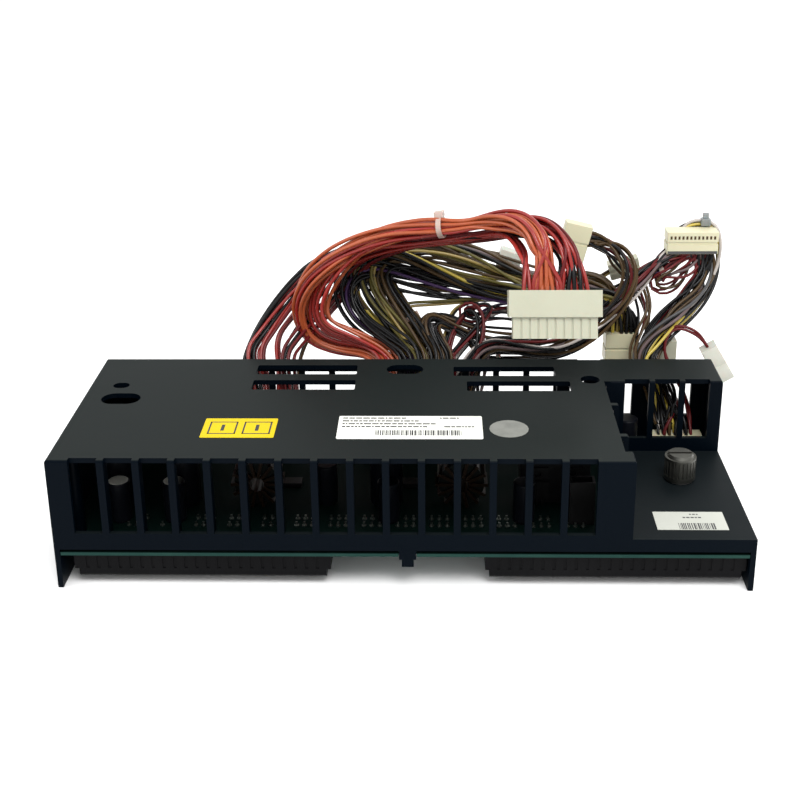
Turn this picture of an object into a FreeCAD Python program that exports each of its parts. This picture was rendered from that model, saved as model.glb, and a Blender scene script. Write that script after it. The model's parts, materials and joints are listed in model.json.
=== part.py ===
import FreeCAD, Part
import math
import os

# Power supply backplane, in millimetres. X runs along the length, -Y is the vented front, Z is up.
# The origin is at the bottom centre of the cover, on the surface that its side walls stand on.

# Cover: one moulded box with a low shelf and a small tower at its right-hand end
cover_length = 320.0
cover_depth = 118.0
cover_height = 65.5
wall = 2.5
shelf_width = 56.0
tower_depth = 30.0
shelf_height = 26.5
skirt_gap = 1.4
edge_round = 1.2

# Circuit board under the cover
board_thickness = 1.6
board_bottom = 17.0
board_side_gap = 0.3
board_rear_gap = 2.8

# Front vents: tall openings that run up into the top plate, with deep ribs between them
vent_pitch = 16.0
vent_width = 12.8
vent_start = 10.4
vent_end_margin = 14.0
vent_sill = 28.4
vent_wrap = 2.8
rib_depth = 9.0
rib_thickness = 1.9

# Rear vents on both sides of the cable exit, and the solid band over all of them
rear_band = 6.5
rear_left_margin = 50.0
rear_right_margin = 10.0
exit_middle = 3.5
exit_width = 51.8

# Side windows in the wall between the main box and the shelf: the last one runs up to the tower
side_window_start = 10.2
side_window_lengths = [15.4, 31.0]
side_window_post = 2.8
side_sill = 34.0
side_wrap = 3.9

# Tower windows
tower_window_count = 3
tower_window_width = 12.4
tower_window_pitch = 15.2
tower_window_start = 6.8
tower_sill = 33.8
tower_rear_windows = [(3.5, 11.5), (24.0, 22.0)]

# Top plate: slots in two rows, and holes
slot_length = 52.0
slot_width = 11.6
slot_corner = 1.0
left_slots = [(55.2, 15.1), (55.1, 34.4)]
right_slots = [(53.7, 17.2), (47.2, 35.9)]
obrounds = [(15.9, 35.3, 8.2, 6.4), (19.3, 51.3, 19.4, 12.6)]
exit_obround = (4.3, 14.7, 19.0, 11.6)
round_hole_place = (10.7, 27.8)
round_hole_radius = 4.8
notch_end = 2.3
notch_width = 12.1
notch_depth = 2.0

# Key tab that hangs from the front wall through a notch in the board
key_offset = 2.25
key_root_width = 7.8
key_root_drop = 4.6
key_width = 5.4
key_bottom = 11.7
fit_gap = 0.3

# Bosses moulded inside the cover, which stand on the board, and the screws that hold it
boss_radius = 3.6
boss_bore = 1.25
boss_bore_depth = 9.0
boss_wall_gap = 4.0
boss_front = 19.0
boss_rear = 13.0
right_boss_inset = 22.0
right_boss_rear = 7.0
right_boss_front = 7.0
cover_screw_radius = 1.5
cover_screw_head_radius = 2.9
cover_screw_head = 2.0
cover_screw_length = 9.0

# Edge connectors under the front of the board
connector_length = 119.0
connector_left_gap = 7.75
connector_right_gap = 3.25
connector_depth = 11.6
connector_setback = 3.2
connector_bottom = 3.9
connector_shoulder = 4.4
connector_lip_inset = 1.3
connector_end_inset = 2.0
slot_opening = 2.6
slot_depth = 9.0
contact_count = 22
contact_pitch = 5.08
contact_width = 2.0
contact_thickness = 0.4
contact_row = 2.3
tail_width = 0.8
tail_height = 1.3
hole_gap = 0.1
groove_width = 1.5
groove_depth = 0.35

# Tinned terminal pins in two rows on the board, in small clusters behind the vents
pin_rows = (24.6, 31.0)
pin_cluster = 3
pin_pitch = 3.7
pin_radius = 0.55
pin_height = 2.2
pin_base_radius = 1.1
pin_base_height = 0.6

# Captive thumbscrew through the shelf
thumbscrew_place = (25.1, 30.0)
knob_radius = 7.6
knob_height = 11.6
knob_cap_height = 1.5
knob_cap_radius = 5.7
knob_flutes = 24
flute_radius = 0.45
knob_slot_width = 1.6
knob_slot_depth = 1.1
screw_radius = 2.4
screw_tip = 4.5
screw_point = 1.2
running_gap = 0.08
ferrule_radius = 4.4
ferrule_flange_radius = 6.6
ferrule_flange = 0.8
ring_radius = 4.2
ring_thickness = 0.8
ring_groove = 0.5
board_clearance_radius = 5.5

# Board-mounted parts, in two rows that spread over the main box
front_row = ["small", "small", "pins", "pins", "small", "pins", "small", "sense"]
front_row_start = 19.0
front_row_y = 30.5
back_row = ["large", "large", "choke", "small", "large", "choke", "sink"]
back_row_start = 12.0
back_row_y = 48.0
row_end = 14.0
pins_width = 22.0
tower_cap_place = (45.0, 18.0)
small_cap_radius = 5.2
small_cap_height = 21.0
large_cap_radius = 8.0
large_cap_height = 31.0
cap_round = 0.8
cap_bung = 1.4
choke_outer = 11.0
choke_inner = 5.2
choke_thickness = 9.0
choke_turns = 14
choke_wire = 1.5
sink_length = 34.0
sink_height = 27.0
sink_base = 2.4
sink_fins = 6
sink_fin_depth = 9.0
sink_fin_thickness = 1.3
transistor_count = 2
transistor_width = 10.2
transistor_height = 15.4
transistor_thickness = 4.4
transistor_lift = 4.0
transistor_pitch = 2.54
transistor_body_share = 0.6
transistor_hole_share = 0.8
transistor_hole_radius = 1.7
chip_sizes = [(10.0, 7.5), (12.8, 7.6), (18.0, 7.6), (7.0, 7.0)]
chip_row = 66.0
chip_height = 2.1
sense_header_size = (12.0, 7.4, 22.0)

# Output headers at the rear of the board, where the harness starts
header_depth = 10.4
header_height = 11.4
header_wall = 1.2
cavity_pitch = 4.2
header_pin = 1.0
header_pin_drop = 2.2
header_row = 4.2
header_rear = 15.0
tower_header_place = (20.0, 17.5)
left_header_gap = 37.8
middle_header_shift = 0.9
left_header_columns = 6
middle_header_columns = 12
tower_header_columns = 6

# Harness routes: each bundle starts inside its header and ends inside its plug
bend_share = 0.45
wire_routes = {
    "wires_main_red": (9.5, [
        (-11, 44, 29), (-11, 47, 39), (-11, 59, 49), (-12, 72, 58), (-22, 80, 62), (-39, 83, 62),
        (-54, 84, 68), (-59, 83, 84), (-54, 80, 100), (-42, 77, 113), (-27, 74, 123), (-9, 71, 131),
        (9, 67, 135), (27, 62, 138), (43, 54, 143), (56, 45, 146), (65, 35, 142), (69, 25.9, 129),
        (69.5, 21, 115.8)]),
    "wires_main_black": (5.0, [
        (-81, 44, 29), (-81, 47, 37), (-81, 58, 45), (-88, 67, 57), (-83, 77, 70), (-71.5, 87, 86.5),
        (-56, 92.5, 104.5), (-39, 92, 113), (-17, 88, 122.5), (6, 83, 129), (28, 77, 133.5),
        (48, 69, 138.5), (64, 59, 141.5), (75, 47, 141), (81, 37, 135), (82.8, 25.6, 127.8),
        (82.5, 21.1, 115.9)]),
    "wires_main_inner": (5.0, [
        (-67.3, 44, 29), (-67.3, 47, 37), (-67.3, 58, 45), (-69, 69, 54), (-73, 84, 67), (-64, 92, 77),
        (-51, 95, 90), (-37, 95, 104), (-18, 90, 115), (4, 83, 122), (25, 75, 126), (43, 66, 132),
        (52, 54, 136), (57, 42, 134), (59.3, 25.9, 129.5), (59.5, 21, 115.8)]),
    "wires_clear_plug": (3.6, [
        (-61.5, 44, 29), (-61.5, 47, 36), (-61.5, 58, 43), (-61, 72, 48), (-60, 90, 58),
        (-51, 104, 70), (-41, 111, 83), (-30, 114, 96), (-14, 115, 104), (6, 115.5, 105),
        (24, 115.5, 104), (40, 114, 108), (50.5, 112, 105.6)]),
    "wires_cream_outer": (6.0, [
        (-1.5, 44, 29), (-1.5, 47, 38), (-1.5, 58, 47), (-3, 70, 56), (-6, 86, 66), (-18, 93, 77),
        (-27, 98, 90), (-28, 101, 103), (-19, 101, 112), (-2, 100, 109), (17, 99, 100), (37, 97, 91),
        (56, 94, 88), (77, 91, 88), (97, 87, 91), (112, 84, 91), (119, 82.5, 82), (119.5, 82, 70.5)]),
    "wires_cream_inner": (6.0, [
        (6.5, 44, 29), (6.5, 47, 38), (6.5, 58, 47), (6, 71, 57), (5, 86, 69), (-3, 94, 82),
        (-11, 101, 93), (-17, 107, 105), (-10, 111, 114), (5, 112, 114), (23, 110, 107), (42, 107, 99),
        (62, 103, 95), (82, 100, 95), (98, 98, 97), (109, 95, 93), (112, 91, 82), (111.5, 88, 70.5)]),
    "wires_white_plug": (3.2, [
        (13, 44, 29), (13, 47, 37), (13, 58, 45), (14, 70, 54), (21, 84, 71), (24, 93, 80),
        (35, 100, 83), (56, 104, 83), (78, 106, 84), (93, 106, 87), (103, 107, 92),
        (111.5, 108, 97.6)]),
    "wires_tall_plug": (5.5, [
        (25.6, 44, 29), (25.6, 47, 38), (26, 58, 46), (30, 70, 54), (41, 77, 61), (57, 76, 61),
        (75, 74, 61), (93, 73, 68), (107, 75, 81), (117, 76.5, 95), (120, 81, 108), (112, 89, 118.5),
        (104, 91, 121.5), (95.5, 91, 122)]),
    "wires_two_row_left": (5.0, [
        (18.6, 44, 29), (18.6, 47, 37), (18.6, 58, 46), (21, 71, 57), (35, 84, 70), (41, 94, 77),
        (53, 99, 80), (69, 100, 79), (88, 101, 79), (106, 102, 82), (120, 100, 91), (133, 98, 99),
        (143, 99, 103), (147, 100, 112)]),
    "wires_two_row_right": (8.0, [
        (140, 41.5, 29), (140, 45, 39), (136, 58, 48), (125, 68, 59), (131, 77, 70), (145, 87, 81),
        (158, 94, 92), (162, 98, 102), (159, 100.5, 112)]),
    "wires_corner_plug": (3.4, [
        (148.3, 41.5, 29), (148.3, 45, 37), (147.6, 57, 46), (141, 67, 56), (137, 71, 65),
        (138, 74.5, 73), (143.5, 76, 77.5), (150.5, 75, 76.5), (157, 73, 72.5), (160.8, 72, 66)]),
    "wires_tower_plug": (3.4, [
        (131.5, 41.5, 29), (131.5, 45, 36), (132, 56, 39), (134, 66, 37), (139, 75, 35),
        (140.5, 80, 39), (140.5, 80, 45)]),
}
header_of = {
    "wires_main_black": "left",
    "wires_main_inner": "left",
    "wires_clear_plug": "left",
    "wires_two_row_right": "tower",
    "wires_corner_plug": "tower",
    "wires_tower_plug": "tower",
}
plug_of = {
    "wires_main_red": "plug_main",
    "wires_main_black": "plug_main",
    "wires_main_inner": "plug_main",
    "wires_clear_plug": "plug_clear",
    "wires_cream_outer": "plug_cream",
    "wires_cream_inner": "plug_cream",
    "wires_white_plug": "plug_white",
    "wires_tall_plug": "plug_tall",
    "wires_two_row_left": "plug_two_row",
    "wires_two_row_right": "plug_two_row",
    "wires_corner_plug": "plug_corner",
    "wires_tower_plug": "plug_tower",
}

# Main plug: a flanged upper housing over a ribbed lower one, with its top leaning back
main_plug_place = (72.9, 21.6, 117.2)
main_plug_lean = 20.0
main_plug_upper = (45.2, 14.0, 13.0)
main_plug_lower = (41.0, 10.4, 11.0)
main_plug_columns = 10
plug_window = (0.75, 0.35)
plug_latch_top = 0.4

# Plain plugs: centre, size, and the turn about Y that tilts them
plain_plugs = {
    "plug_clear": ((56.2, 112.0, 103.5), (13.0, 8.0, 9.6), 20.0),
    "plug_cream": ((115.5, 85.2, 62.5), (17.0, 13.4, 17.0), 0.0),
    "plug_white": ((119.2, 108.0, 99.7), (17.0, 8.0, 9.0), -15.0),
    "plug_tall": ((89.4, 91.0, 120.4), (14.6, 8.2, 20.0), 14.0),
    "plug_two_row": ((153.6, 100.6, 117.4), (27.4, 11.2, 12.0), 0.0),
    "plug_corner": ((165.8, 72.0, 57.9), (9.0, 9.0, 21.0), -31.0),
    "plug_tower": ((140.5, 80.0, 56.2), (9.0, 8.0, 23.6), 0.0),
}
plug_round = 0.6
plug_mark = 0.5
plug_grip = 0.8
polarising_rib = 1.2

# Cable ties: each round the middle of one run of a bundle's route, by the run's number
tied_runs = {"wires_main_red": 12, "wires_tall_plug": 4, "wires_cream_inner": 4,
             "wires_two_row_left": 11}
tie_width = 2.6
tie_thickness = 1.1
tie_slack = 0.05
tie_head = (4.6, 4.4, 2.8)

# Places in the frame, worked out from the sizes above
left = -cover_length / 2
right = cover_length / 2
front = -cover_depth / 2
rear = cover_depth / 2
main_width = cover_length - shelf_width
main_right = left + main_width
tower_front = rear - tower_depth
vent_room = main_width - vent_start - vent_end_margin + vent_pitch - vent_width
vent_count = int(vent_room / vent_pitch)
board_top = board_bottom + board_thickness
skirt_bottom = board_top + skirt_gap
exit_left = exit_middle - exit_width / 2
exit_right = exit_middle + exit_width / 2
rear_left_vents = int((exit_left - left - rear_left_margin) / vent_pitch)
rear_right_vents = int((main_right - exit_right - rear_right_margin) / vent_pitch)
clear = 1.0
level_tolerance = 0.001
upright_share = 0.9


def block(x0, x1, y0, y1, z0, z1):
    return Part.makeBox(x1 - x0, y1 - y0, z1 - z0, FreeCAD.Vector(x0, y0, z0))


def post(x, y, radius, z0, z1):
    return Part.makeCylinder(radius, z1 - z0, FreeCAD.Vector(x, y, z0))


def fused(shapes):
    return shapes[0].multiFuse(shapes[1:]).removeSplitter()


def group(shapes):
    return Part.makeCompound(shapes)


def save(name, shape):
    if not shape.isValid():
        raise ValueError("the shape of " + name + " is not valid")
    shape.exportStep("parts/" + name + ".step")
    print(name, "solids", len(shape.Solids), "volume", round(shape.Volume, 1))


def obround(x, y, length, width, z0, z1):
    half = (length - width) / 2
    middle = block(x - half, x + half, y - width / 2, y + width / 2, z0, z1)
    ends = [post(x - half, y, width / 2, z0, z1), post(x + half, y, width / 2, z0, z1)]
    return fused([middle] + ends)


def rounded_slot(x, y, length, width, z0, z1):
    slot = block(x - length / 2, x + length / 2, y - width / 2, y + width / 2, z0, z1)
    return slot.makeFillet(slot_corner, upright_edges(slot))


def upright_edges(shape):
    least = upright_share * shape.BoundBox.ZLength
    return [edge for edge in shape.Edges if edge.BoundBox.ZLength > least]


def level_edges(shape, height):
    flat = []
    for edge in shape.Edges:
        box = edge.BoundBox
        if max(abs(box.ZMin - height), abs(box.ZMax - height)) < level_tolerance:
            flat.append(edge)
    return flat


def cover_outside():
    main = block(left, main_right, front, rear, skirt_bottom, cover_height)
    tower = block(main_right - wall, right, tower_front, rear, skirt_bottom, cover_height)
    shelf = block(main_right - wall, right, front, tower_front + wall, skirt_bottom, shelf_height)
    body = fused([main, tower, shelf])
    rounded = body.makeFillet(edge_round, level_edges(body, cover_height))
    side_walls = [
        block(left, left + wall, front, rear, 0.0, skirt_bottom),
        block(right - wall, right, front, rear, 0.0, skirt_bottom),
    ]
    return fused([rounded] + side_walls)


def cover_inside():
    under = skirt_bottom - clear
    main = block(left + wall, main_right - wall, front + wall, rear - wall, under, cover_height - wall)
    tower = block(main_right - wall, right - wall, tower_front + wall, rear - wall, under,
                  cover_height - wall)
    shelf = block(main_right - wall, right - wall, front + wall, rear - wall, under,
                  shelf_height - wall)
    return fused([main, tower, shelf])


def vent_centres():
    first = left + vent_start + vent_width / 2
    return [first + index * vent_pitch for index in range(vent_count)]


def front_vents():
    cuts = []
    for x in vent_centres():
        cuts.append(block(x - vent_width / 2, x + vent_width / 2, front - clear, front + vent_wrap,
                          vent_sill, cover_height + clear))
    return cuts


def rear_openings():
    top = cover_height - rear_band
    starts = [exit_left - (index + 1) * vent_pitch for index in range(rear_left_vents)]
    starts += [exit_right + (index + 1) * vent_pitch - vent_width for index in range(rear_right_vents)]
    cuts = [block(exit_left, exit_right, rear - wall - clear, rear + clear, vent_sill, top)]
    for x in starts:
        cuts.append(block(x, x + vent_width, rear - wall - clear, rear + clear, vent_sill, top))
    for start, width in tower_rear_windows:
        x = main_right + start
        cuts.append(block(x, x + width, rear - wall - clear, rear + clear, tower_sill, top))
    return cuts


def side_openings():
    cuts = []
    y = front + side_window_start
    ends = []
    for length in side_window_lengths:
        ends.append((y, y + length))
        y += length + side_window_post
    ends.append((y, tower_front))
    for start, finish in ends:
        cuts.append(block(main_right - side_wrap, main_right + clear, start, finish, side_sill,
                          cover_height + clear))
    return cuts


def tower_openings():
    cuts = []
    for index in range(tower_window_count):
        x = main_right + tower_window_start + index * tower_window_pitch
        cuts.append(block(x, x + tower_window_width, tower_front - clear, tower_front + vent_wrap,
                          tower_sill, cover_height + clear))
    return cuts


def top_openings():
    z0 = cover_height - wall - clear
    z1 = cover_height + clear
    cuts = []
    for inset, behind in left_slots:
        cuts.append(rounded_slot(exit_middle - inset, rear - behind, slot_length, slot_width, z0, z1))
    for inset, behind in right_slots:
        cuts.append(rounded_slot(main_right - inset, rear - behind, slot_length, slot_width, z0, z1))
    for inset, behind, length, width in obrounds:
        cuts.append(obround(left + inset, rear - behind, length, width, z0, z1))
    inset, behind, length, width = exit_obround
    cuts.append(obround(exit_middle - inset, rear - behind, length, width, z0, z1))
    inset, behind = round_hole_place
    cuts.append(post(main_right - inset, rear - behind, round_hole_radius, z0, z1))
    x = main_right - notch_end
    cuts.append(block(x - notch_width, x, rear - notch_depth, rear + clear, cover_height - wall, z1))
    return cuts


def inner_ribs():
    ribs = []
    for x in vent_centres()[:-1]:
        middle = x + vent_pitch / 2
        ribs.append(block(middle - rib_thickness / 2, middle + rib_thickness / 2, front + wall / 2,
                          front + rib_depth, skirt_bottom, cover_height - wall / 2))
    return ribs


def boss_places():
    left_x = left + wall + boss_wall_gap
    return [
        (left_x, rear - boss_rear),
        (left_x, front + boss_front),
        (main_right - right_boss_inset, rear - right_boss_rear),
        (main_right - right_boss_front, front + boss_front),
    ]


def bosses():
    return [post(x, y, boss_radius, board_top, cover_height - wall / 2) for x, y in boss_places()]


def boss_bores():
    return [post(x, y, boss_bore, board_top - clear, board_top + boss_bore_depth)
            for x, y in boss_places()]


def key_tab(gap):
    # The tab itself, or the notch round it when a gap is given
    half_root = key_root_width / 2 + gap
    half_tip = key_width / 2 + gap
    shoulder = skirt_bottom - key_root_drop
    depth = wall + gap
    root = block(key_offset - half_root, key_offset + half_root, front - gap, front + depth,
                 shoulder - gap, skirt_bottom + wall)
    tip = block(key_offset - half_tip, key_offset + half_tip, front - gap, front + depth,
                key_bottom, shoulder)
    return fused([root, tip])


def thumbscrew_axis():
    inset, before = thumbscrew_place
    return right - inset, tower_front - before


def cover():
    # Skilled feature: one moulding with comb-like vents that wrap over its corners
    x, y = thumbscrew_axis()
    hole = post(x, y, ferrule_radius, shelf_height - wall - clear, shelf_height + clear)
    shell = cover_outside().cut(cover_inside())
    shell = fused([shell] + inner_ribs() + bosses() + [key_tab(0.0)])
    cuts = front_vents() + rear_openings() + side_openings() + tower_openings() + top_openings()
    return shell.cut(cuts + boss_bores() + [hole]).removeSplitter()


def circuit_board():
    x0 = left + wall + board_side_gap
    x1 = right - wall - board_side_gap
    board = block(x0, x1, front, rear - board_rear_gap, board_bottom, board_top)
    holes = [key_tab(fit_gap)]
    for x, y in boss_places():
        holes.append(post(x, y, cover_screw_radius + hole_gap, board_bottom - clear,
                          board_top + clear))
    x, y = thumbscrew_axis()
    holes.append(post(x, y, board_clearance_radius, board_bottom - clear, board_top + clear))
    for x, y in tail_places():
        holes.append(square_post(x, y, tail_width + 2 * hole_gap, board_bottom - clear,
                                 board_top + clear))
    for header in header_places().values():
        for x, y in header_pin_places(header):
            holes.append(square_post(x, y, header_pin + 2 * hole_gap, board_bottom - clear,
                                     board_top + clear))
    return board.cut(holes)


def square_post(x, y, width, z0, z1):
    half = width / 2
    return block(x - half, x + half, y - half, y + half, z0, z1)


def connector_centre(side):
    if side < 0:
        x = left + connector_left_gap + connector_length / 2
    else:
        x = right - connector_right_gap - connector_length / 2
    return x, front + connector_setback + connector_depth / 2


def edge_connector(side):
    # A long socket that opens downwards, with a stepped lip and a groove outside each contact
    x, y = connector_centre(side)
    half = connector_length / 2
    deep = connector_depth / 2
    shoulder = connector_bottom + connector_shoulder
    body = block(x - half, x + half, y - deep, y + deep, shoulder, board_bottom)
    lip = block(x - half + connector_end_inset, x + half - connector_end_inset,
                y - deep, y + deep, connector_bottom, shoulder)
    body = fused([body, lip])
    lower = [edge for edge in level_edges(body, connector_bottom) if edge.BoundBox.XLength > half]
    body = body.makeChamfer(connector_lip_inset, lower)
    room = half - connector_end_inset - wall
    cuts = [block(x - room, x + room, y - slot_opening / 2, y + slot_opening / 2,
                  connector_bottom - clear, connector_bottom + slot_depth)]
    cuts += contact_cavities(side)
    for place in contact_places(side):
        for face in (-1, 1):
            outside = y + face * deep
            cuts.append(block(place - groove_width / 2, place + groove_width / 2,
                              outside - groove_depth, outside + groove_depth,
                              shoulder + groove_depth, board_bottom - groove_depth))
    return body.cut(cuts)


def contact_places(side):
    x = connector_centre(side)[0]
    first = x - (contact_count - 1) * contact_pitch / 2
    return [first + index * contact_pitch for index in range(contact_count)]


def contact_cavities(side):
    y = connector_centre(side)[1]
    reach = contact_row + contact_thickness + hole_gap
    height = connector_bottom + slot_depth
    cuts = []
    for x in contact_places(side):
        half = contact_width / 2 + hole_gap
        cuts.append(block(x - half, x + half, y - reach, y + reach, connector_bottom + clear, height))
        for row in (-1, 1):
            cuts.append(square_post(x, y + row * contact_row, tail_width + 2 * hole_gap,
                                    height - clear, board_bottom + clear))
    return cuts


def edge_contacts(side):
    # Bowed spring leaves in the socket, each with a tail up through the board
    y = connector_centre(side)[1]
    return group([leaf(x, y, row) for x in contact_places(side) for row in (-1, 1)])


def leaf(x, y, row):
    foot = connector_bottom + 2 * clear
    head = connector_bottom + slot_depth - hole_gap
    bow = (foot + head) / 2
    outer = contact_row + contact_thickness / 2
    inner = slot_opening / 2 - 2 * contact_thickness
    profile = [(outer, head), (inner, bow), (outer - contact_thickness, foot),
               (outer, foot), (inner + contact_thickness, bow), (outer, head - 2 * contact_thickness)]
    points = [FreeCAD.Vector(x - contact_width / 2, y + row * across, height)
              for across, height in profile]
    face = Part.Face(Part.makePolygon(points + points[:1]))
    spring = face.extrude(FreeCAD.Vector(contact_width, 0, 0))
    tail = square_post(x, y + row * contact_row, tail_width, head - contact_thickness,
                       board_top + tail_height)
    return fused([spring, tail])


def tail_places():
    places = []
    for side in (-1, 1):
        y = connector_centre(side)[1]
        places += [(x, y + row * contact_row) for x in contact_places(side) for row in (-1, 1)]
    return places


def row_places(wanted):
    # Places of one kind of part: each row's parts have equal gaps between them
    widths = {
        "small": 2 * small_cap_radius,
        "large": 2 * large_cap_radius,
        "choke": 2 * (choke_outer + choke_wire + hole_gap),
        "sink": sink_length,
        "sense": sense_header_size[0],
        "pins": pins_width,
    }
    places = []
    for kinds, start, offset_y in ((front_row, front_row_start, front_row_y),
                                   (back_row, back_row_start, back_row_y)):
        room = main_width - row_end - start - sum(widths[kind] for kind in kinds)
        gap = room / (len(kinds) - 1)
        x = left + start
        for kind in kinds:
            if kind == wanted:
                places.append((x + widths[kind] / 2, front + offset_y))
            x += widths[kind] + gap
    return places


def small_cap_places():
    inset, behind = tower_cap_place
    return row_places("small") + [(right - inset, rear - behind)]


def room_for_pin(x, y):
    for cap_x, cap_y in small_cap_places():
        if math.hypot(x - cap_x, y - cap_y) < small_cap_radius + pin_base_radius + fit_gap:
            return False
    mid_x, mid_y = row_places("sense")[0]
    room_x = sense_header_size[0] / 2 + pin_base_radius + fit_gap
    room_y = sense_header_size[1] / 2 + pin_base_radius + fit_gap
    return abs(x - mid_x) > room_x or abs(y - mid_y) > room_y


def terminal_pins():
    # A cluster of pins in two rows behind each front vent
    pins = []
    for x in vent_centres()[1:]:
        for index in range(pin_cluster):
            place = x + (index - (pin_cluster - 1) / 2) * pin_pitch
            for row in pin_rows:
                if not room_for_pin(place, front + row):
                    continue
                foot = post(place, front + row, pin_base_radius, board_top,
                            board_top + pin_base_height)
                stem = post(place, front + row, pin_radius, board_top, board_top + pin_height)
                pins.append(fused([foot, stem]))
    return group(pins)


def cover_screws():
    screws = []
    for x, y in boss_places():
        head = post(x, y, cover_screw_head_radius, board_bottom - cover_screw_head, board_bottom)
        tip = board_bottom + cover_screw_length
        shank = post(x, y, boss_bore, board_bottom - clear, tip)
        drive = square_post(x, y, cover_screw_radius, board_bottom - cover_screw_head,
                            board_bottom - cover_screw_head / 2)
        screws.append(fused([head, shank]).cut(drive))
    return group(screws)


def ferrule():
    # Flanged bush pressed into the shelf
    x, y = thumbscrew_axis()
    bush = post(x, y, ferrule_radius, shelf_height - wall, shelf_height)
    flange = post(x, y, ferrule_flange_radius, shelf_height, shelf_height + ferrule_flange)
    bore = post(x, y, screw_radius + running_gap, shelf_height - wall - clear,
                shelf_height + ferrule_flange + clear)
    return fused([bush, flange]).cut(bore)


def thumbscrew():
    # Fluted knob, shank and point turned as one piece
    x, y = thumbscrew_axis()
    foot = shelf_height + ferrule_flange + fit_gap
    top = foot + knob_height
    knob = post(x, y, knob_radius, foot, top)
    flutes = []
    for index in range(knob_flutes):
        angle = 2 * math.pi * index / knob_flutes
        flutes.append(post(x + knob_radius * math.cos(angle), y + knob_radius * math.sin(angle),
                           flute_radius, foot + 2 * clear, top - clear))
    knob = knob.cut(flutes)
    cap = Part.makeCone(knob_cap_radius + knob_cap_height / 2, knob_cap_radius, knob_cap_height,
                        FreeCAD.Vector(x, y, top))
    shank = post(x, y, screw_radius, screw_tip + screw_point, foot)
    point = Part.makeCone(screw_radius - screw_point, screw_radius, screw_point,
                          FreeCAD.Vector(x, y, screw_tip))
    body = fused([knob, cap, shank, point])
    ring_top = shelf_height - wall - fit_gap
    groove = post(x, y, screw_radius + clear, ring_top - ring_thickness, ring_top)
    groove = groove.cut(post(x, y, screw_radius - ring_groove, ring_top - ring_thickness, ring_top))
    lid = top + knob_cap_height
    slot = block(x - knob_radius, x + knob_radius, y - knob_slot_width / 2, y + knob_slot_width / 2,
                 lid - knob_slot_depth, lid + clear)
    return body.cut([groove, slot])


def retaining_ring():
    # Snap ring in the shank's groove, which keeps the screw in the shelf
    x, y = thumbscrew_axis()
    top = shelf_height - wall - fit_gap
    ring = post(x, y, ring_radius, top - ring_thickness, top)
    bore = post(x, y, screw_radius - ring_groove, top - ring_thickness, top)
    mouth = block(x - ring_groove, x + ring_groove, y, y + 2 * ring_radius, top - ring_thickness, top)
    return ring.cut([bore, mouth])


def capacitors(places, radius, height):
    cans = []
    for x, y in places:
        can = post(x, y, radius, board_top + cap_bung, board_top + height)
        can = can.makeFillet(cap_round, level_edges(can, board_top + height))
        bung = post(x, y, radius - cap_round, board_top, board_top + cap_bung)
        cans.append(fused([can, bung]))
    return group(cans)


def choke_middles():
    height = board_top + choke_wire + choke_outer
    return [(x, y, height) for x, y in row_places("choke")]


def choke_cores():
    cores = []
    for x, y, z in choke_middles():
        start = FreeCAD.Vector(x, y - choke_thickness / 2, z)
        along = FreeCAD.Vector(0, 1, 0)
        ring = Part.makeCylinder(choke_outer, choke_thickness, start, along)
        cores.append(ring.cut(Part.makeCylinder(choke_inner, choke_thickness, start, along)))
    return group(cores)


def choke_windings():
    # Each turn is a flat loop round the core's section, spaced about its axis
    turns = []
    for x, y, z in choke_middles():
        deep = choke_thickness / 2
        gap = hole_gap
        for index in range(choke_turns):
            outer = block(-choke_wire / 2, choke_wire / 2, -deep - gap - choke_wire,
                          deep + gap + choke_wire, choke_inner - gap - choke_wire,
                          choke_outer + gap + choke_wire)
            hole = block(-choke_wire, choke_wire, -deep - gap, deep + gap, choke_inner - gap,
                         choke_outer + gap)
            loop = outer.cut(hole)
            loop.rotate(FreeCAD.Vector(0, 0, 0), FreeCAD.Vector(0, 1, 0),
                        360.0 * (index + 0.5) / choke_turns)
            loop.translate(FreeCAD.Vector(x, y, z))
            turns.append(loop)
    return group(turns)


def heat_sink():
    x, y = row_places("sink")[0]
    base = block(x - sink_length / 2, x + sink_length / 2, y, y + sink_base, board_top,
                 board_top + sink_height)
    fins = []
    step = (sink_length - sink_fin_thickness) / (sink_fins - 1)
    for index in range(sink_fins):
        start = x - sink_length / 2 + index * step
        fins.append(block(start, start + sink_fin_thickness, y + sink_base / 2,
                          y + sink_base + sink_fin_depth, board_top, board_top + sink_height))
    return fused([base] + fins)


def transistors():
    x, y = row_places("sink")[0]
    packs = []
    step = sink_length / transistor_count
    for index in range(transistor_count):
        middle = x - sink_length / 2 + (index + 0.5) * step
        foot = board_top + transistor_lift
        body_top = foot + transistor_body_share * transistor_height
        body = block(middle - transistor_width / 2, middle + transistor_width / 2,
                     y - transistor_thickness, y, foot, body_top)
        tab = block(middle - transistor_width / 2, middle + transistor_width / 2,
                    y - transistor_thickness / 3, y, foot, foot + transistor_height)
        hole_height = foot + transistor_hole_share * transistor_height
        hole = Part.makeCylinder(transistor_hole_radius, transistor_thickness,
                                 FreeCAD.Vector(middle, y - transistor_thickness, hole_height),
                                 FreeCAD.Vector(0, 1, 0))
        legs = [square_post(middle + row * transistor_pitch, y - transistor_thickness / 2,
                            tail_width, board_top, foot) for row in (-1, 0, 1)]
        packs.append(fused([body, tab] + legs).cut(hole))
    return group(packs)


def chips():
    packs = []
    step = (main_width - back_row_start - row_end) / len(chip_sizes)
    for index, (length, width) in enumerate(chip_sizes):
        x = left + back_row_start + (index + 0.5) * step
        y = front + chip_row
        body = block(x - length / 2, x + length / 2, y - width / 2, y + width / 2, board_top,
                     board_top + chip_height)
        long_edges = [edge for edge in level_edges(body, board_top + chip_height)
                      if edge.BoundBox.XLength > edge.BoundBox.YLength]
        packs.append(body.makeChamfer(chip_height / 4, long_edges))
    return group(packs)


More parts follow.
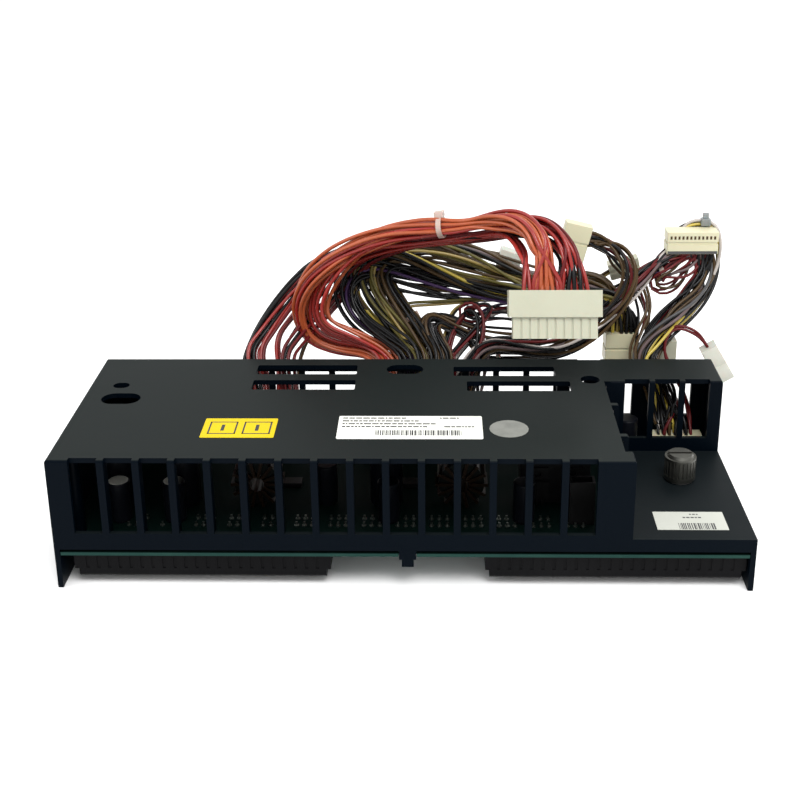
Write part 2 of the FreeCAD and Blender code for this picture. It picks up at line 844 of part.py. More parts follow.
def sense_header():
    x, y = row_places("sense")[0]
    length, depth, height = sense_header_size
    body = block(x - length / 2, x + length / 2, y - depth / 2, y + depth / 2, board_top,
                 board_top + height)
    room = block(x - length / 2 + header_wall, x + length / 2 - header_wall,
                 y - depth / 2 + header_wall, y + depth / 2 - header_wall,
                 board_top + height / 2, board_top + height + clear)
    return body.cut(room)


def half_length(columns):
    return columns * cavity_pitch / 2 + header_wall


def header_places():
    # Middle of each header, and its number of columns
    row = rear - header_rear
    inset, behind = tower_header_place
    left_x = exit_left - left_header_gap - half_length(left_header_columns)
    return {
        "left": (left_x, row, left_header_columns),
        "middle": (exit_middle - middle_header_shift, row, middle_header_columns),
        "tower": (right - inset, rear - behind, tower_header_columns),
    }


def output_header(header):
    # Nylon header with a wire cavity over each pin and a latch ramp on its front
    x, y, columns = header
    half = half_length(columns)
    deep = header_depth / 2
    top = board_top + header_height
    body = block(x - half, x + half, y - deep, y + deep, board_top, top)
    ramp_top = top - 2 * header_wall
    latch = block(x - cavity_pitch, x + cavity_pitch, y - deep - header_wall, y - deep,
                  ramp_top - header_wall, ramp_top)
    cuts = [square_post(px, py, header_pin + 2 * hole_gap, board_top - clear,
                        board_top + header_height / 2) for px, py in header_pin_places(header)]
    for index in range(columns - 1):
        line = x - half + header_wall + (index + 1) * cavity_pitch
        cuts.append(block(line - groove_depth / 2, line + groove_depth / 2, y - deep - clear,
                          y - deep + groove_depth, board_top + header_wall, top - 3 * header_wall))
    return fused([body, latch]).cut(cuts)


def header_pin_places(header):
    x, y, columns = header
    first = x - (columns - 1) * cavity_pitch / 2
    return [(first + index * cavity_pitch, y + row * header_row / 2)
            for index in range(columns) for row in (-1, 1)]


def header_pins():
    pins = []
    for header in header_places().values():
        for x, y in header_pin_places(header):
            pins.append(square_post(x, y, header_pin, board_bottom - header_pin_drop,
                                    board_top + header_height / 2 - fit_gap))
    return group(pins)


def vectors(route):
    return [FreeCAD.Vector(*place) for place in route]


def bend(before, corner, after):
    # The tangent arc that joins two straight runs at a corner, with its radius
    back = before - corner
    ahead = after - corner
    cut = bend_share * min(back.Length, ahead.Length)
    turn = math.pi - back.getAngle(ahead)
    back.normalize()
    ahead.normalize()
    radius = cut / math.tan(turn / 2)
    inward = back + ahead
    inward.normalize()
    start = corner + back * cut
    finish = corner + ahead * cut
    middle = corner + inward * (radius / math.cos(turn / 2) - radius)
    return start, middle, finish, radius


def tube(name):
    diameter, route = wire_routes[name]
    points = vectors(route)
    edges = []
    radii = []
    last = points[0]
    for before, corner, after in zip(points, points[1:], points[2:]):
        start, middle, finish, radius = bend(before, corner, after)
        edges.append(Part.LineSegment(last, start).toShape())
        edges.append(Part.Arc(start, middle, finish).toShape())
        radii.append(round(radius, 1))
        last = finish
    edges.append(Part.LineSegment(last, points[-1]).toShape())
    path = Part.Wire(edges)
    section = Part.Circle(points[0], points[1] - points[0], diameter / 2).toShape()
    solid = path.makePipeShell([Part.Wire(section)], True, False)
    expected = math.pi * diameter * diameter / 4 * path.Length
    print(name, "length", round(path.Length, 1), "share of full volume",
          round(solid.Volume / expected, 4), "bend radii", radii)
    return solid


def rounded_box(length, depth, height):
    box = block(-length / 2, length / 2, -depth / 2, depth / 2, -height / 2, height / 2)
    return box.makeFillet(plug_round, upright_edges(box))


def main_plug():
    # Upper housing with windows and a latch at its back, lower housing ribbed at each column
    length, depth, height = main_plug_upper
    upper = rounded_box(length, depth, height)
    upper.translate(FreeCAD.Vector(0, 0, -height / 2))
    low_length, low_depth, low_height = main_plug_lower
    lower = rounded_box(low_length, low_depth, low_height)
    lower.translate(FreeCAD.Vector(0, 0, -height - low_height / 2 + plug_mark))
    pitch = low_length / main_plug_columns
    cuts = []
    window_foot, window_head = plug_window
    for index in range(main_plug_columns):
        x = -low_length / 2 + (index + 0.5) * pitch
        cuts.append(block(x - pitch / 4, x + pitch / 4, depth / 2 - plug_mark, depth / 2 + plug_mark,
                          -window_foot * height, -window_head * height))
    for index in range(1, main_plug_columns):
        x = -low_length / 2 + index * pitch
        for side in (-1, 1):
            face = side * low_depth / 2
            cuts.append(block(x - plug_mark, x + plug_mark, face - plug_mark, face + plug_mark,
                              -height - low_height, -height - plug_mark))
    latch = block(-pitch, pitch, depth / 2, depth / 2 + polarising_rib, -height,
                  -plug_latch_top * height)
    body = fused([upper, lower, latch]).cut(cuts)
    body.rotate(FreeCAD.Vector(0, 0, 0), FreeCAD.Vector(1, 0, 0), -main_plug_lean)
    body.translate(FreeCAD.Vector(*main_plug_place))
    return body


def plain_plug(name):
    # Moulded plug with a shallow grip band round it and a polarising rib on its back
    centre, size, tilt = plain_plugs[name]
    length, depth, height = size
    body = rounded_box(length, depth, height)
    outer = block(-length, length, -depth, depth, -plug_grip, plug_grip)
    inner = block(-length / 2 + plug_mark, length / 2 - plug_mark, -depth / 2 + plug_mark,
                  depth / 2 - plug_mark, -plug_grip, plug_grip)
    rib = block(-polarising_rib, polarising_rib, depth / 2, depth / 2 + polarising_rib / 2,
                -height / 2 + plug_grip, height / 2 - plug_grip)
    body = fused([body.cut(outer.cut(inner)), rib])
    body.rotate(FreeCAD.Vector(0, 0, 0), FreeCAD.Vector(0, 1, 0), tilt)
    body.translate(FreeCAD.Vector(*centre))
    return body


def tie(name, run):
    # Band round the bundle with its ratchet head on top
    diameter, route = wire_routes[name]
    points = vectors(route)
    along = points[run + 1] - points[run]
    centre = points[run] + along * 0.5
    along.normalize()
    inner = diameter / 2 + tie_slack
    start = centre - along * (tie_width / 2)
    band = Part.makeCylinder(inner + tie_thickness, tie_width, start, along)
    head_length, head_depth, head_height = tie_head
    seat = inner + tie_thickness / 2
    head = block(-head_length / 2, head_length / 2, -head_depth / 2, head_depth / 2, seat,
                 seat + head_height)
    across = FreeCAD.Vector(0, 0, 1)
    up = across - along * across.dot(along)
    up.normalize()
    side = up.cross(along)
    head.Placement = FreeCAD.Placement(centre, FreeCAD.Rotation(along, side, up, "XZY"))
    return fused([band, head]).cut(Part.makeCylinder(inner, tie_width, start, along))


def main():
    os.makedirs("parts", exist_ok=True)
    save("cover", cover())
    save("circuit_board", circuit_board())
    save("edge_connector_left", edge_connector(-1))
    save("edge_connector_right", edge_connector(1))
    save("edge_contacts_left", edge_contacts(-1))
    save("edge_contacts_right", edge_contacts(1))
    save("terminal_pins", terminal_pins())
    save("cover_screws", cover_screws())
    save("thumbscrew_ferrule", ferrule())
    save("thumbscrew", thumbscrew())
    save("thumbscrew_retaining_ring", retaining_ring())
    save("capacitors_small", capacitors(small_cap_places(), small_cap_radius, small_cap_height))
    save("capacitors_large", capacitors(row_places("large"), large_cap_radius, large_cap_height))
    save("choke_cores", choke_cores())
    save("choke_windings", choke_windings())
    save("heat_sink", heat_sink())
    save("transistors", transistors())
    save("control_chips", chips())
    save("sense_header", sense_header())
    headers = {place: output_header(header) for place, header in header_places().items()}
    for place, header in headers.items():
        save("output_header_" + place, header)
    save("header_pins", header_pins())
    plugs = {"plug_main": main_plug()}
    for name in plain_plugs:
        plugs[name] = plain_plug(name)
    for name, plug in plugs.items():
        save(name, plug)
    for name in wire_routes:
        header = headers[header_of.get(name, "middle")]
        save(name, tube(name).cut([header, plugs[plug_of[name]]]))
    save("cable_ties", group([tie(name, run) for name, run in tied_runs.items()]))


main()
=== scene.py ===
import json
import math
import random
import bmesh
import bpy
from mathutils import Matrix, Vector


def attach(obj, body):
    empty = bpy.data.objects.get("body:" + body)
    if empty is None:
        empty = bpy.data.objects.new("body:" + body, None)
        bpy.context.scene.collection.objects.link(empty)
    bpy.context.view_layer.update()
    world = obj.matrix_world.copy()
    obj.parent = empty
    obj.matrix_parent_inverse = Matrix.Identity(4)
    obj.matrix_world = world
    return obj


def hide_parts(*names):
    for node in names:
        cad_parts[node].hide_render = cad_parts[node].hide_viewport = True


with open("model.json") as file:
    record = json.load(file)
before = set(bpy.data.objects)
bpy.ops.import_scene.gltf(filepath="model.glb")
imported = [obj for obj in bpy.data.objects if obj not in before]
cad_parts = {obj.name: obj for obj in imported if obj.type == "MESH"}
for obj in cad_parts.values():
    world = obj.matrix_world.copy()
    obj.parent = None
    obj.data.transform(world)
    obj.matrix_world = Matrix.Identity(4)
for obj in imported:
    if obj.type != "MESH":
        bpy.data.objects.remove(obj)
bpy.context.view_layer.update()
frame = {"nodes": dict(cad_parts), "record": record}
mm = 0.001
print("stage: frame loaded")


def linkAll(tree, pairs):
    for start, end in pairs:
        tree.links.new(start, end)


def noiseGroup(name, inputs, outputs, noiseValues):
    # a node group that starts from noise on the piece's own coordinates
    group = bpy.data.node_groups.new(name, "ShaderNodeTree")
    for label, value in inputs:
        socket = group.interface.new_socket(label, in_out="INPUT", socket_type="NodeSocketFloat")
        socket.default_value = value
    for label, kind in outputs:
        group.interface.new_socket(label, in_out="OUTPUT", socket_type=kind)
    source = group.nodes.new("NodeGroupInput")
    coords = group.nodes.new("ShaderNodeTexCoord")
    noise = group.nodes.new("ShaderNodeTexNoise")
    for label, value in noiseValues:
        noise.inputs[label].default_value = value
    linkAll(group, ((coords.outputs["Object"], noise.inputs["Vector"]),
                    (source.outputs["Scale"], noise.inputs["Scale"])))
    return group, source, noise, group.nodes.new("NodeGroupOutput")


def grainGroup():
    # fine moulded grain, as a bumped normal
    settings = {"inputs": [("Scale", 400.0), ("Depth", 0.2)], "noise": [("Detail", 3.0)],
                "bumpDistance": 0.0003}
    group, source, noise, sink = noiseGroup("fineGrain", settings["inputs"], [("Normal", "NodeSocketVector")],
                                            settings["noise"])
    bump = group.nodes.new("ShaderNodeBump")
    bump.inputs["Distance"].default_value = settings["bumpDistance"]
    linkAll(group, ((noise.outputs["Fac"], bump.inputs["Height"]),
                    (source.outputs["Depth"], bump.inputs["Strength"]),
                    (bump.outputs["Normal"], sink.inputs["Normal"])))
    return group


def cloudGroup():
    # broad uneven patches, as handling and dust leave them
    settings = {"inputs": [("Scale", 18.0), ("Low", 0.45), ("High", 0.75)],
                "noise": [("Detail", 6.0), ("Roughness", 0.6)]}
    group, source, noise, sink = noiseGroup("handledPatches", settings["inputs"],
                                            [("Mask", "NodeSocketFloat")], settings["noise"])
    spread = group.nodes.new("ShaderNodeMapRange")
    linkAll(group, ((noise.outputs["Fac"], spread.inputs["Value"]),
                    (source.outputs["Low"], spread.inputs["From Min"]),
                    (source.outputs["High"], spread.inputs["From Max"]),
                    (spread.outputs["Result"], sink.inputs["Mask"])))
    return group


grain = grainGroup()
clouds = cloudGroup()


def mixed(tree, factor, first, second):
    # a colour between two, each a plain colour or another node's output
    mix = tree.nodes.new("ShaderNodeMix")
    mix.data_type = "RGBA"
    tree.links.new(factor, mix.inputs["Factor"])
    for socket, value in ((mix.inputs["A"], first), (mix.inputs["B"], second)):
        if isinstance(value, tuple):
            socket.default_value = (*value, 1.0)
        else:
            tree.links.new(value, socket)
    return mix.outputs["Result"]


# what a look has where it doesn't say otherwise
plainLook = {"patchScale": 18.0, "grainScale": 900.0, "grainDepth": 0.15, "roughSpread": 0.12, "metal": 0.0,
             "shine": 0.5, "milky": 0.0, "milkyDepth": 0.002, "clear": 0.0, "topColour": None,
             "topFacing": 0.9, "topRange": ("Z", -1.0, -0.5)}


def upFacingColourAndPaintedLight(tree, look, mask, colour):
    # faces that look straight up take another colour, within a range along one axis; on the cover this is
    # painted light on its upper faces, fading into painted shade towards its low shelf, and on the board it
    # is painted shade on its top
    axis, faint, full = look["topRange"]
    coords = tree.nodes.new("ShaderNodeTexCoord")
    facing = tree.nodes.new("ShaderNodeSeparateXYZ")
    places = tree.nodes.new("ShaderNodeSeparateXYZ")
    above = tree.nodes.new("ShaderNodeMath")
    above.operation = "GREATER_THAN"
    above.inputs[1].default_value = look["topFacing"]
    fade = tree.nodes.new("ShaderNodeMapRange")
    fade.inputs["From Min"].default_value = faint
    fade.inputs["From Max"].default_value = full
    linkAll(tree, ((coords.outputs["Normal"], facing.inputs["Vector"]),
                   (facing.outputs["Z"], above.inputs[0]),
                   (coords.outputs["Object"], places.inputs["Vector"]),
                   (places.outputs[axis], fade.inputs["Value"]),
                   (above.outputs[0], fade.inputs["To Max"])))
    finish = mixed(tree, mask, look["topColour"], look.get("topPatch", look["topColour"]))
    return mixed(tree, fade.outputs["Result"], colour, finish)


def makeMaterial(name, look):
    look = {**plainLook, "patch": look["colour"], **look}
    material = bpy.data.materials.new(name)
    material.use_nodes = True
    tree = material.node_tree
    patches = tree.nodes.new("ShaderNodeGroup")
    patches.node_tree = clouds
    patches.inputs["Scale"].default_value = look["patchScale"]
    fine = tree.nodes.new("ShaderNodeGroup")
    fine.node_tree = grain
    fine.inputs["Scale"].default_value = look["grainScale"]
    fine.inputs["Depth"].default_value = look["grainDepth"]
    mask = patches.outputs["Mask"]
    colour = mixed(tree, mask, look["colour"], look["patch"])
    if look["topColour"]:
        colour = upFacingColourAndPaintedLight(tree, look, mask, colour)
    rough = tree.nodes.new("ShaderNodeMapRange")
    rough.inputs["To Min"].default_value = look["rough"]
    rough.inputs["To Max"].default_value = min(1.0, look["rough"] + look["roughSpread"])
    shader = tree.nodes["Principled BSDF"]
    linkAll(tree, ((colour, shader.inputs["Base Color"]), (fine.outputs["Normal"], shader.inputs["Normal"]),
                   (mask, rough.inputs["Value"]), (rough.outputs["Result"], shader.inputs["Roughness"])))
    for label, key in (("Metallic", "metal"), ("Specular IOR Level", "shine"), ("Subsurface Weight", "milky"),
                       ("Subsurface Scale", "milkyDepth"), ("Transmission Weight", "clear")):
        shader.inputs[label].default_value = look[key]
    return material


looks = {
    # the cover's darker bluish colour on its sides and front is painted shade, and its lighter top colour is
    # painted light on the upper faces, with less of it on the low shelf as painted shade there
    "cover_plastic": {"colour": (0.0003, 0.0019, 0.0043), "patch": (0.0006, 0.0026, 0.0052), "rough": 0.42,
                      "topColour": (0.0115, 0.0145, 0.0142), "topPatch": (0.0135, 0.0172, 0.0166),
                      "topRange": ("Z", 0.0, 0.06), "grainScale": 1500.0, "grainDepth": 0.1, "shine": 0.04,
                      "patchScale": 9.0},
    # the board's green shows on its edges; its far darker top colour is painted shade inside the cover
    "board": {"colour": (0.012, 0.038, 0.032), "patch": (0.018, 0.05, 0.04), "rough": 0.6, "patchScale": 40.0,
              "topColour": (0.0016, 0.0075, 0.0062), "topPatch": (0.0028, 0.011, 0.0085), "shine": 0.04},
    "socket_plastic": {"colour": (0.0025, 0.0025, 0.003), "patch": (0.005, 0.005, 0.0055), "rough": 0.4,
                       "shine": 0.07},
    "contact_metal": {"colour": (0.75, 0.53, 0.2), "patch": (0.62, 0.43, 0.17), "rough": 0.25, "metal": 1.0},
    "tinned_metal": {"colour": (0.26, 0.28, 0.26), "patch": (0.18, 0.2, 0.18), "rough": 0.35, "metal": 1.0},
    "screw_steel": {"colour": (0.3, 0.3, 0.29), "patch": (0.22, 0.22, 0.21), "rough": 0.35, "metal": 1.0},
    "thumbscrew_metal": {"colour": (0.15, 0.15, 0.135), "patch": (0.09, 0.09, 0.08), "rough": 0.34,
                         "metal": 1.0, "patchScale": 90.0},
    "capacitor_sleeve": {"colour": (0.003, 0.0038, 0.006), "patch": (0.005, 0.006, 0.009), "rough": 0.35,
                         "topColour": (0.85, 0.85, 0.76), "topRange": ("X", -0.105, -0.115), "shine": 0.12},
    # the ferrite is darker than its own dark grey, and the copper windings near black, as painted shade
    # inside the cover
    "ferrite": {"colour": (0.003, 0.005, 0.004), "patch": (0.005, 0.008, 0.006), "rough": 0.5, "shine": 0.1},
    "copper": {"colour": (0.016, 0.008, 0.0035), "patch": (0.01, 0.0045, 0.002), "rough": 0.4, "metal": 0.4,
               "shine": 0.2},
    "heat_sink_metal": {"colour": (0.004, 0.0045, 0.005), "patch": (0.007, 0.0075, 0.008), "rough": 0.5,
                        "shine": 0.15},
    "chip_plastic": {"colour": (0.004, 0.004, 0.0045), "patch": (0.008, 0.008, 0.008), "rough": 0.45,
                     "shine": 0.2},
    "white_nylon": {"colour": (0.405, 0.405, 0.31), "patch": (0.35, 0.35, 0.26), "rough": 0.42, "milky": 0.1},
    "cream_nylon": {"colour": (0.56, 0.53, 0.36), "patch": (0.5, 0.46, 0.3), "rough": 0.42, "milky": 0.1},
    "clear_nylon": {"colour": (0.68, 0.68, 0.6), "patch": (0.6, 0.6, 0.52), "rough": 0.3, "milky": 0.2,
                    "clear": 0.4},
    "tie_nylon": {"colour": (0.6, 0.46, 0.4), "patch": (0.52, 0.38, 0.33), "rough": 0.35, "milky": 0.2,
                  "clear": 0.3},
}
materials = {name: makeMaterial(name, look) for name, look in looks.items()}

wireLooks = {
    "red": (0.25, 0.016, 0.012), "brightRed": (0.34, 0.026, 0.02), "orange": (0.37, 0.074, 0.024),
    "black": (0.0055, 0.0055, 0.006), "grey": (0.07, 0.07, 0.072), "brown": (0.058, 0.034, 0.013),
    "darkRed": (0.1, 0.009, 0.01), "yellow": (0.5, 0.38, 0.05), "olive": (0.1, 0.085, 0.02),
    "gold": (0.28, 0.2, 0.05), "white": (0.4, 0.36, 0.33), "purple": (0.05, 0.022, 0.08),
    "mauve": (0.12, 0.085, 0.085),
}

# patches on a wire are a quarter darker, and dark wires shine less
wireFinish = {"rough": 0.25, "grainScale": 260.0, "grainDepth": 0.08, "patchScale": 60.0, "roughSpread": 0.15}
wireTone = {"patch": 0.75, "darkBelow": 0.2, "darkShine": 0.2, "lightShine": 0.5}


def wireLook(colour):
    dark = max(colour) < wireTone["darkBelow"]
    return {**wireFinish, "colour": colour, "patch": tuple(wireTone["patch"] * value for value in colour),
            "shine": wireTone["darkShine" if dark else "lightShine"]}


wireMaterials = {name: makeMaterial("wire" + name[0].upper() + name[1:], wireLook(colour))
                 for name, colour in wireLooks.items()}

# the hidden tubes of the bundles take their main wire's finish
tubeFinish = {"wire_red": "red", "wire_black": "black", "wire_dark_red": "darkRed", "wire_yellow": "yellow",
              "wire_olive": "olive"}
# the one node that looks otherwise than the rest of its slot
nodeFinish = {"sense_header": materials["chip_plastic"]}
slotNames = {part["node"]: part["material_slot"] for part in frame["record"]["subparts"]}

for name, item in frame["nodes"].items():
    slotName = slotNames[name]
    chosen = nodeFinish.get(name) or materials.get(slotName) or wireMaterials[tubeFinish[slotName]]
    for materialSlot in item.material_slots:
        materialSlot.material = chosen
print("stage: materials")


def addPiece(name, mesh, slotName, used, body="backplane"):
    piece = bpy.data.objects.new(name, mesh)
    bpy.context.scene.collection.objects.link(piece)
    for material in used:
        mesh.materials.append(material)
    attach(piece, body)
    return piece


def closeMesh(name, mesh):
    data = bpy.data.meshes.new(name)
    mesh.to_mesh(data)
    mesh.free()
    return data


def slab(mesh, low, high, materialIndex=0):
    # a plain box between two corners, in millimetres
    made = bmesh.ops.create_cube(mesh, size=1.0)
    centre = [(a + b) / 2 * mm for a, b in zip(low, high)]
    size = [(b - a) * mm for a, b in zip(low, high)]
    place = Matrix.Translation(centre) @ Matrix.Diagonal((*size, 1.0))
    bmesh.ops.transform(mesh, matrix=place, verts=made["verts"])
    for face in {face for vert in made["verts"] for face in vert.link_faces}:
        face.material_index = materialIndex
    return made["verts"]


routeSettings = {"resolution": 16, "order": 3, "leastSpans": 8}


def splinePlaces(points):
    # the places along a smooth spline through the route's points
    curve = bpy.data.curves.new("route", "CURVE")
    curve.dimensions = "3D"
    curve.resolution_u = routeSettings["resolution"]
    spline = curve.splines.new("NURBS")
    spline.points.add(len(points) - 1)
    for point, place in zip(spline.points, points):
        point.co = (*(value * mm for value in place), 1.0)
    spline.order_u = routeSettings["order"]
    spline.use_endpoint_u = True
    holder = bpy.data.objects.new("route", curve)
    mesh = bpy.data.meshes.new_from_object(holder)
    places = [vert.co.copy() for vert in mesh.vertices]
    bpy.data.objects.remove(holder)
    bpy.data.curves.remove(curve)
    bpy.data.meshes.remove(mesh)
    return places


def routeLine(points, step):
    # the route's smooth line, spaced evenly
    raw = splinePlaces(points)
    along = [0.0]
    for a, b in zip(raw, raw[1:]):
        along.append(along[-1] + (b - a).length)
    count = max(routeSettings["leastSpans"], round(along[-1] / step))
    line = []
    index = 0
    for number in range(count + 1):
        target = along[-1] * number / count
        while index < len(raw) - 2 and along[index + 1] < target:
            index += 1
        span = along[index + 1] - along[index]
        share = (target - along[index]) / span if span > 0 else 0.0
        line.append(raw[index].lerp(raw[index + 1], min(1.0, share)))
    return line


def tangents(line):
    last = len(line) - 1
    return [(line[min(i + 1, last)] - line[max(i - 1, 0)]).normalized() for i in range(len(line))]


def carriedNormals(line):
    # side vectors carried along the line without twist
    ways = tangents(line)
    side = ways[0].orthogonal().normalized()
    sides = []
    for way in ways:
        side = (side - way * side.dot(way)).normalized()
        sides.append(side.copy())
    return ways, sides


def packedPlaces(count, wire, diameter):
    # wire centres in the bundle's section, from the middle outwards on a hexagonal grid
    rows = range(-4, 5)
    # these counts pack better off the grid's centre
    shift = (0.25, 0.2) if count in (2, 4, 5, 8) else (0.0, 0.0)
    grid = [(column + 0.5 * (row % 2) - shift[0], row * math.sqrt(3) / 2 - shift[1])
            for row in rows for column in rows]
    chosen = sorted(grid, key=lambda place: math.hypot(*place))[:count]
    reach = max(math.hypot(*place) for place in chosen) or 1.0
    room = (diameter - wire) / 2 / reach
    return [(x * room, y * room) for x, y in chosen]


def rowPlaces(count, pitch, rowGap=4.0):
    # two rows side by side, as in a header or plug
    columns = math.ceil(count / 2)
    return [((index // 2 - (columns - 1) / 2) * pitch, (index % 2 - 0.5) * min(rowGap, pitch))
            for index in range(count)]


def smooth(value):
    value = max(0.0, min(1.0, value))
    return value * value * (3 - 2 * value)


def addStrand(store, line, radius, materialIndex, sides=8):
    # one round wire along the line, closed at both ends
    verts, faces, marks = store
    ways, across = carriedNormals(line)
    base = len(verts)
    for place, way, side in zip(line, ways, across):
        other = way.cross(side)
        for corner in range(sides):
            angle = 2 * math.pi * corner / sides
            verts.append(place + radius * (math.cos(angle) * side + math.sin(angle) * other))
    for ring in range(len(line) - 1):
        for corner in range(sides):
            follow = (corner + 1) % sides
            a = base + ring * sides + corner
            b = base + ring * sides + follow
            faces.append((a, b, b + sides, a + sides))
            marks.append(materialIndex)
    top = base + (len(line) - 1) * sides
    for end in (reversed(range(base, base + sides)), range(top, top + sides)):
        faces.append(tuple(end))
        marks.append(materialIndex)


def strandMesh(name, store):
    verts, faces, marks = store
    mesh = bpy.data.meshes.new(name)
    mesh.from_pydata(verts, [], faces)
    mesh.polygons.foreach_set("material_index", marks)
    mesh.polygons.foreach_set("use_smooth", [True] * len(faces))
    mesh.update()
    return mesh


# what a bundle has where its own dictionary doesn't say otherwise, in millimetres and shares
bundleSettings = {
    "step": 2.4, "spread": 1.05, "startPitch": 3.0, "endPitch": 2.6, "endUpright": False, "blendIn": 22.0,
    "blendOut": 26.0, "twist": 0.8, "loose": 0.16, "waves": (1, 2, 3), "waveSizes": (0.6, 1.0),
    "waveDrift": 0.3, "wavePhase": 6.28, "ties": [], "tieSqueeze": 0.55, "tieReach": 14.0,
    "limitShare": 0.64, "limitExtra": 1.7}


def drawWaves(rng, look):
    # how one wire wanders from its place in the bundle
    drift, phase = look["waveDrift"], look["wavePhase"]
    return [(rng.uniform(*look["waveSizes"]) * look["diameter"] * look["loose"] / k,
             k + rng.uniform(-drift, drift), rng.uniform(0, phase), rng.uniform(0, phase))
            for k in look["waves"]]


def strandPath(look, line, packed, startOffset, endOffset, waves):
    # one wire's way: out of its header place, through the bundle and into its plug place
    ways, sides = carriedNormals(line)
    total = len(line) - 1
    step = (line[1] - line[0]).length
    blendIn = look["blendIn"] * mm / (step * total)
    blendOut = look["blendOut"] * mm / (step * total)
    limit = (look["limitShare"] * look["diameter"] + look["limitExtra"]) * mm - look["wire"] * mm / 2
    path = []
    for index, (place, way, side) in enumerate(zip(line, ways, sides)):
        share = index / total
        startShare = smooth(1 - share / blendIn)
        endShare = smooth(1 - (1 - share) / blendOut)
        middle = max(0.0, 1 - startShare - endShare)
        angle = look["twist"] * 2 * math.pi * share
        x = packed[0] * math.cos(angle) - packed[1] * math.sin(angle)
        y = packed[0] * math.sin(angle) + packed[1] * math.cos(angle)
        swell = math.sin(math.pi * share) ** 0.5
        for size, rate, phaseX, phaseY in waves:
            x += swell * size * math.sin(2 * math.pi * rate * share + phaseX)
            y += swell * size * math.sin(2 * math.pi * rate * share + phaseY)
        for tieShare in look["ties"]:
            away = (share - tieShare) * total * step / (look["tieReach"] * mm)
            squeeze = 1 - look["tieSqueeze"] * math.exp(-away ** 2)
            x *= squeeze
            y *= squeeze
        offset = (side * x + way.cross(side) * y) * mm * middle
        offset += startOffset * startShare + endOffset * endShare
        offset -= way * offset.dot(way) * (1 - max(startShare, endShare))
        if offset.length > limit:
            offset *= limit / offset.length
        path.append(place + offset)
    return path


def makeBundle(name, node, look):
    # one strand for each colour, twisted together along the route; with no node it is a loose extra
    look = {**bundleSettings, **look}
    rng = random.Random(look["seed"])
    line = routeLine(look["points"], look["step"] * mm)
    count = len(look["colours"])
    packed = packedPlaces(count, look["wire"], look["diameter"] * look["spread"])
    starts = rowPlaces(count, look["startPitch"])
    ends = rowPlaces(count, look["endPitch"])
    order = list(range(count))
    rng.shuffle(order)
    used = sorted(set(look["colours"]))
    store = ([], [], [])
    for index, colour in enumerate(look["colours"]):
        endX, endY = ends[index]
        endPlace = (0.0, endY, endX) if look["endUpright"] else (endX, endY, 0.0)
        path = strandPath(look, line, packed[order[index]], Vector((*starts[index], 0.0)) * mm,
                          Vector(endPlace) * mm, drawWaves(rng, look))
        addStrand(store, path, look["wire"] * mm / 2, used.index(colour))
    piece = addPiece(name, strandMesh(name, store), look["slot"], [wireMaterials[colour] for colour in used])
    if node is not None:
        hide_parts(node)
        [value * mm for value in look["points"][0]]


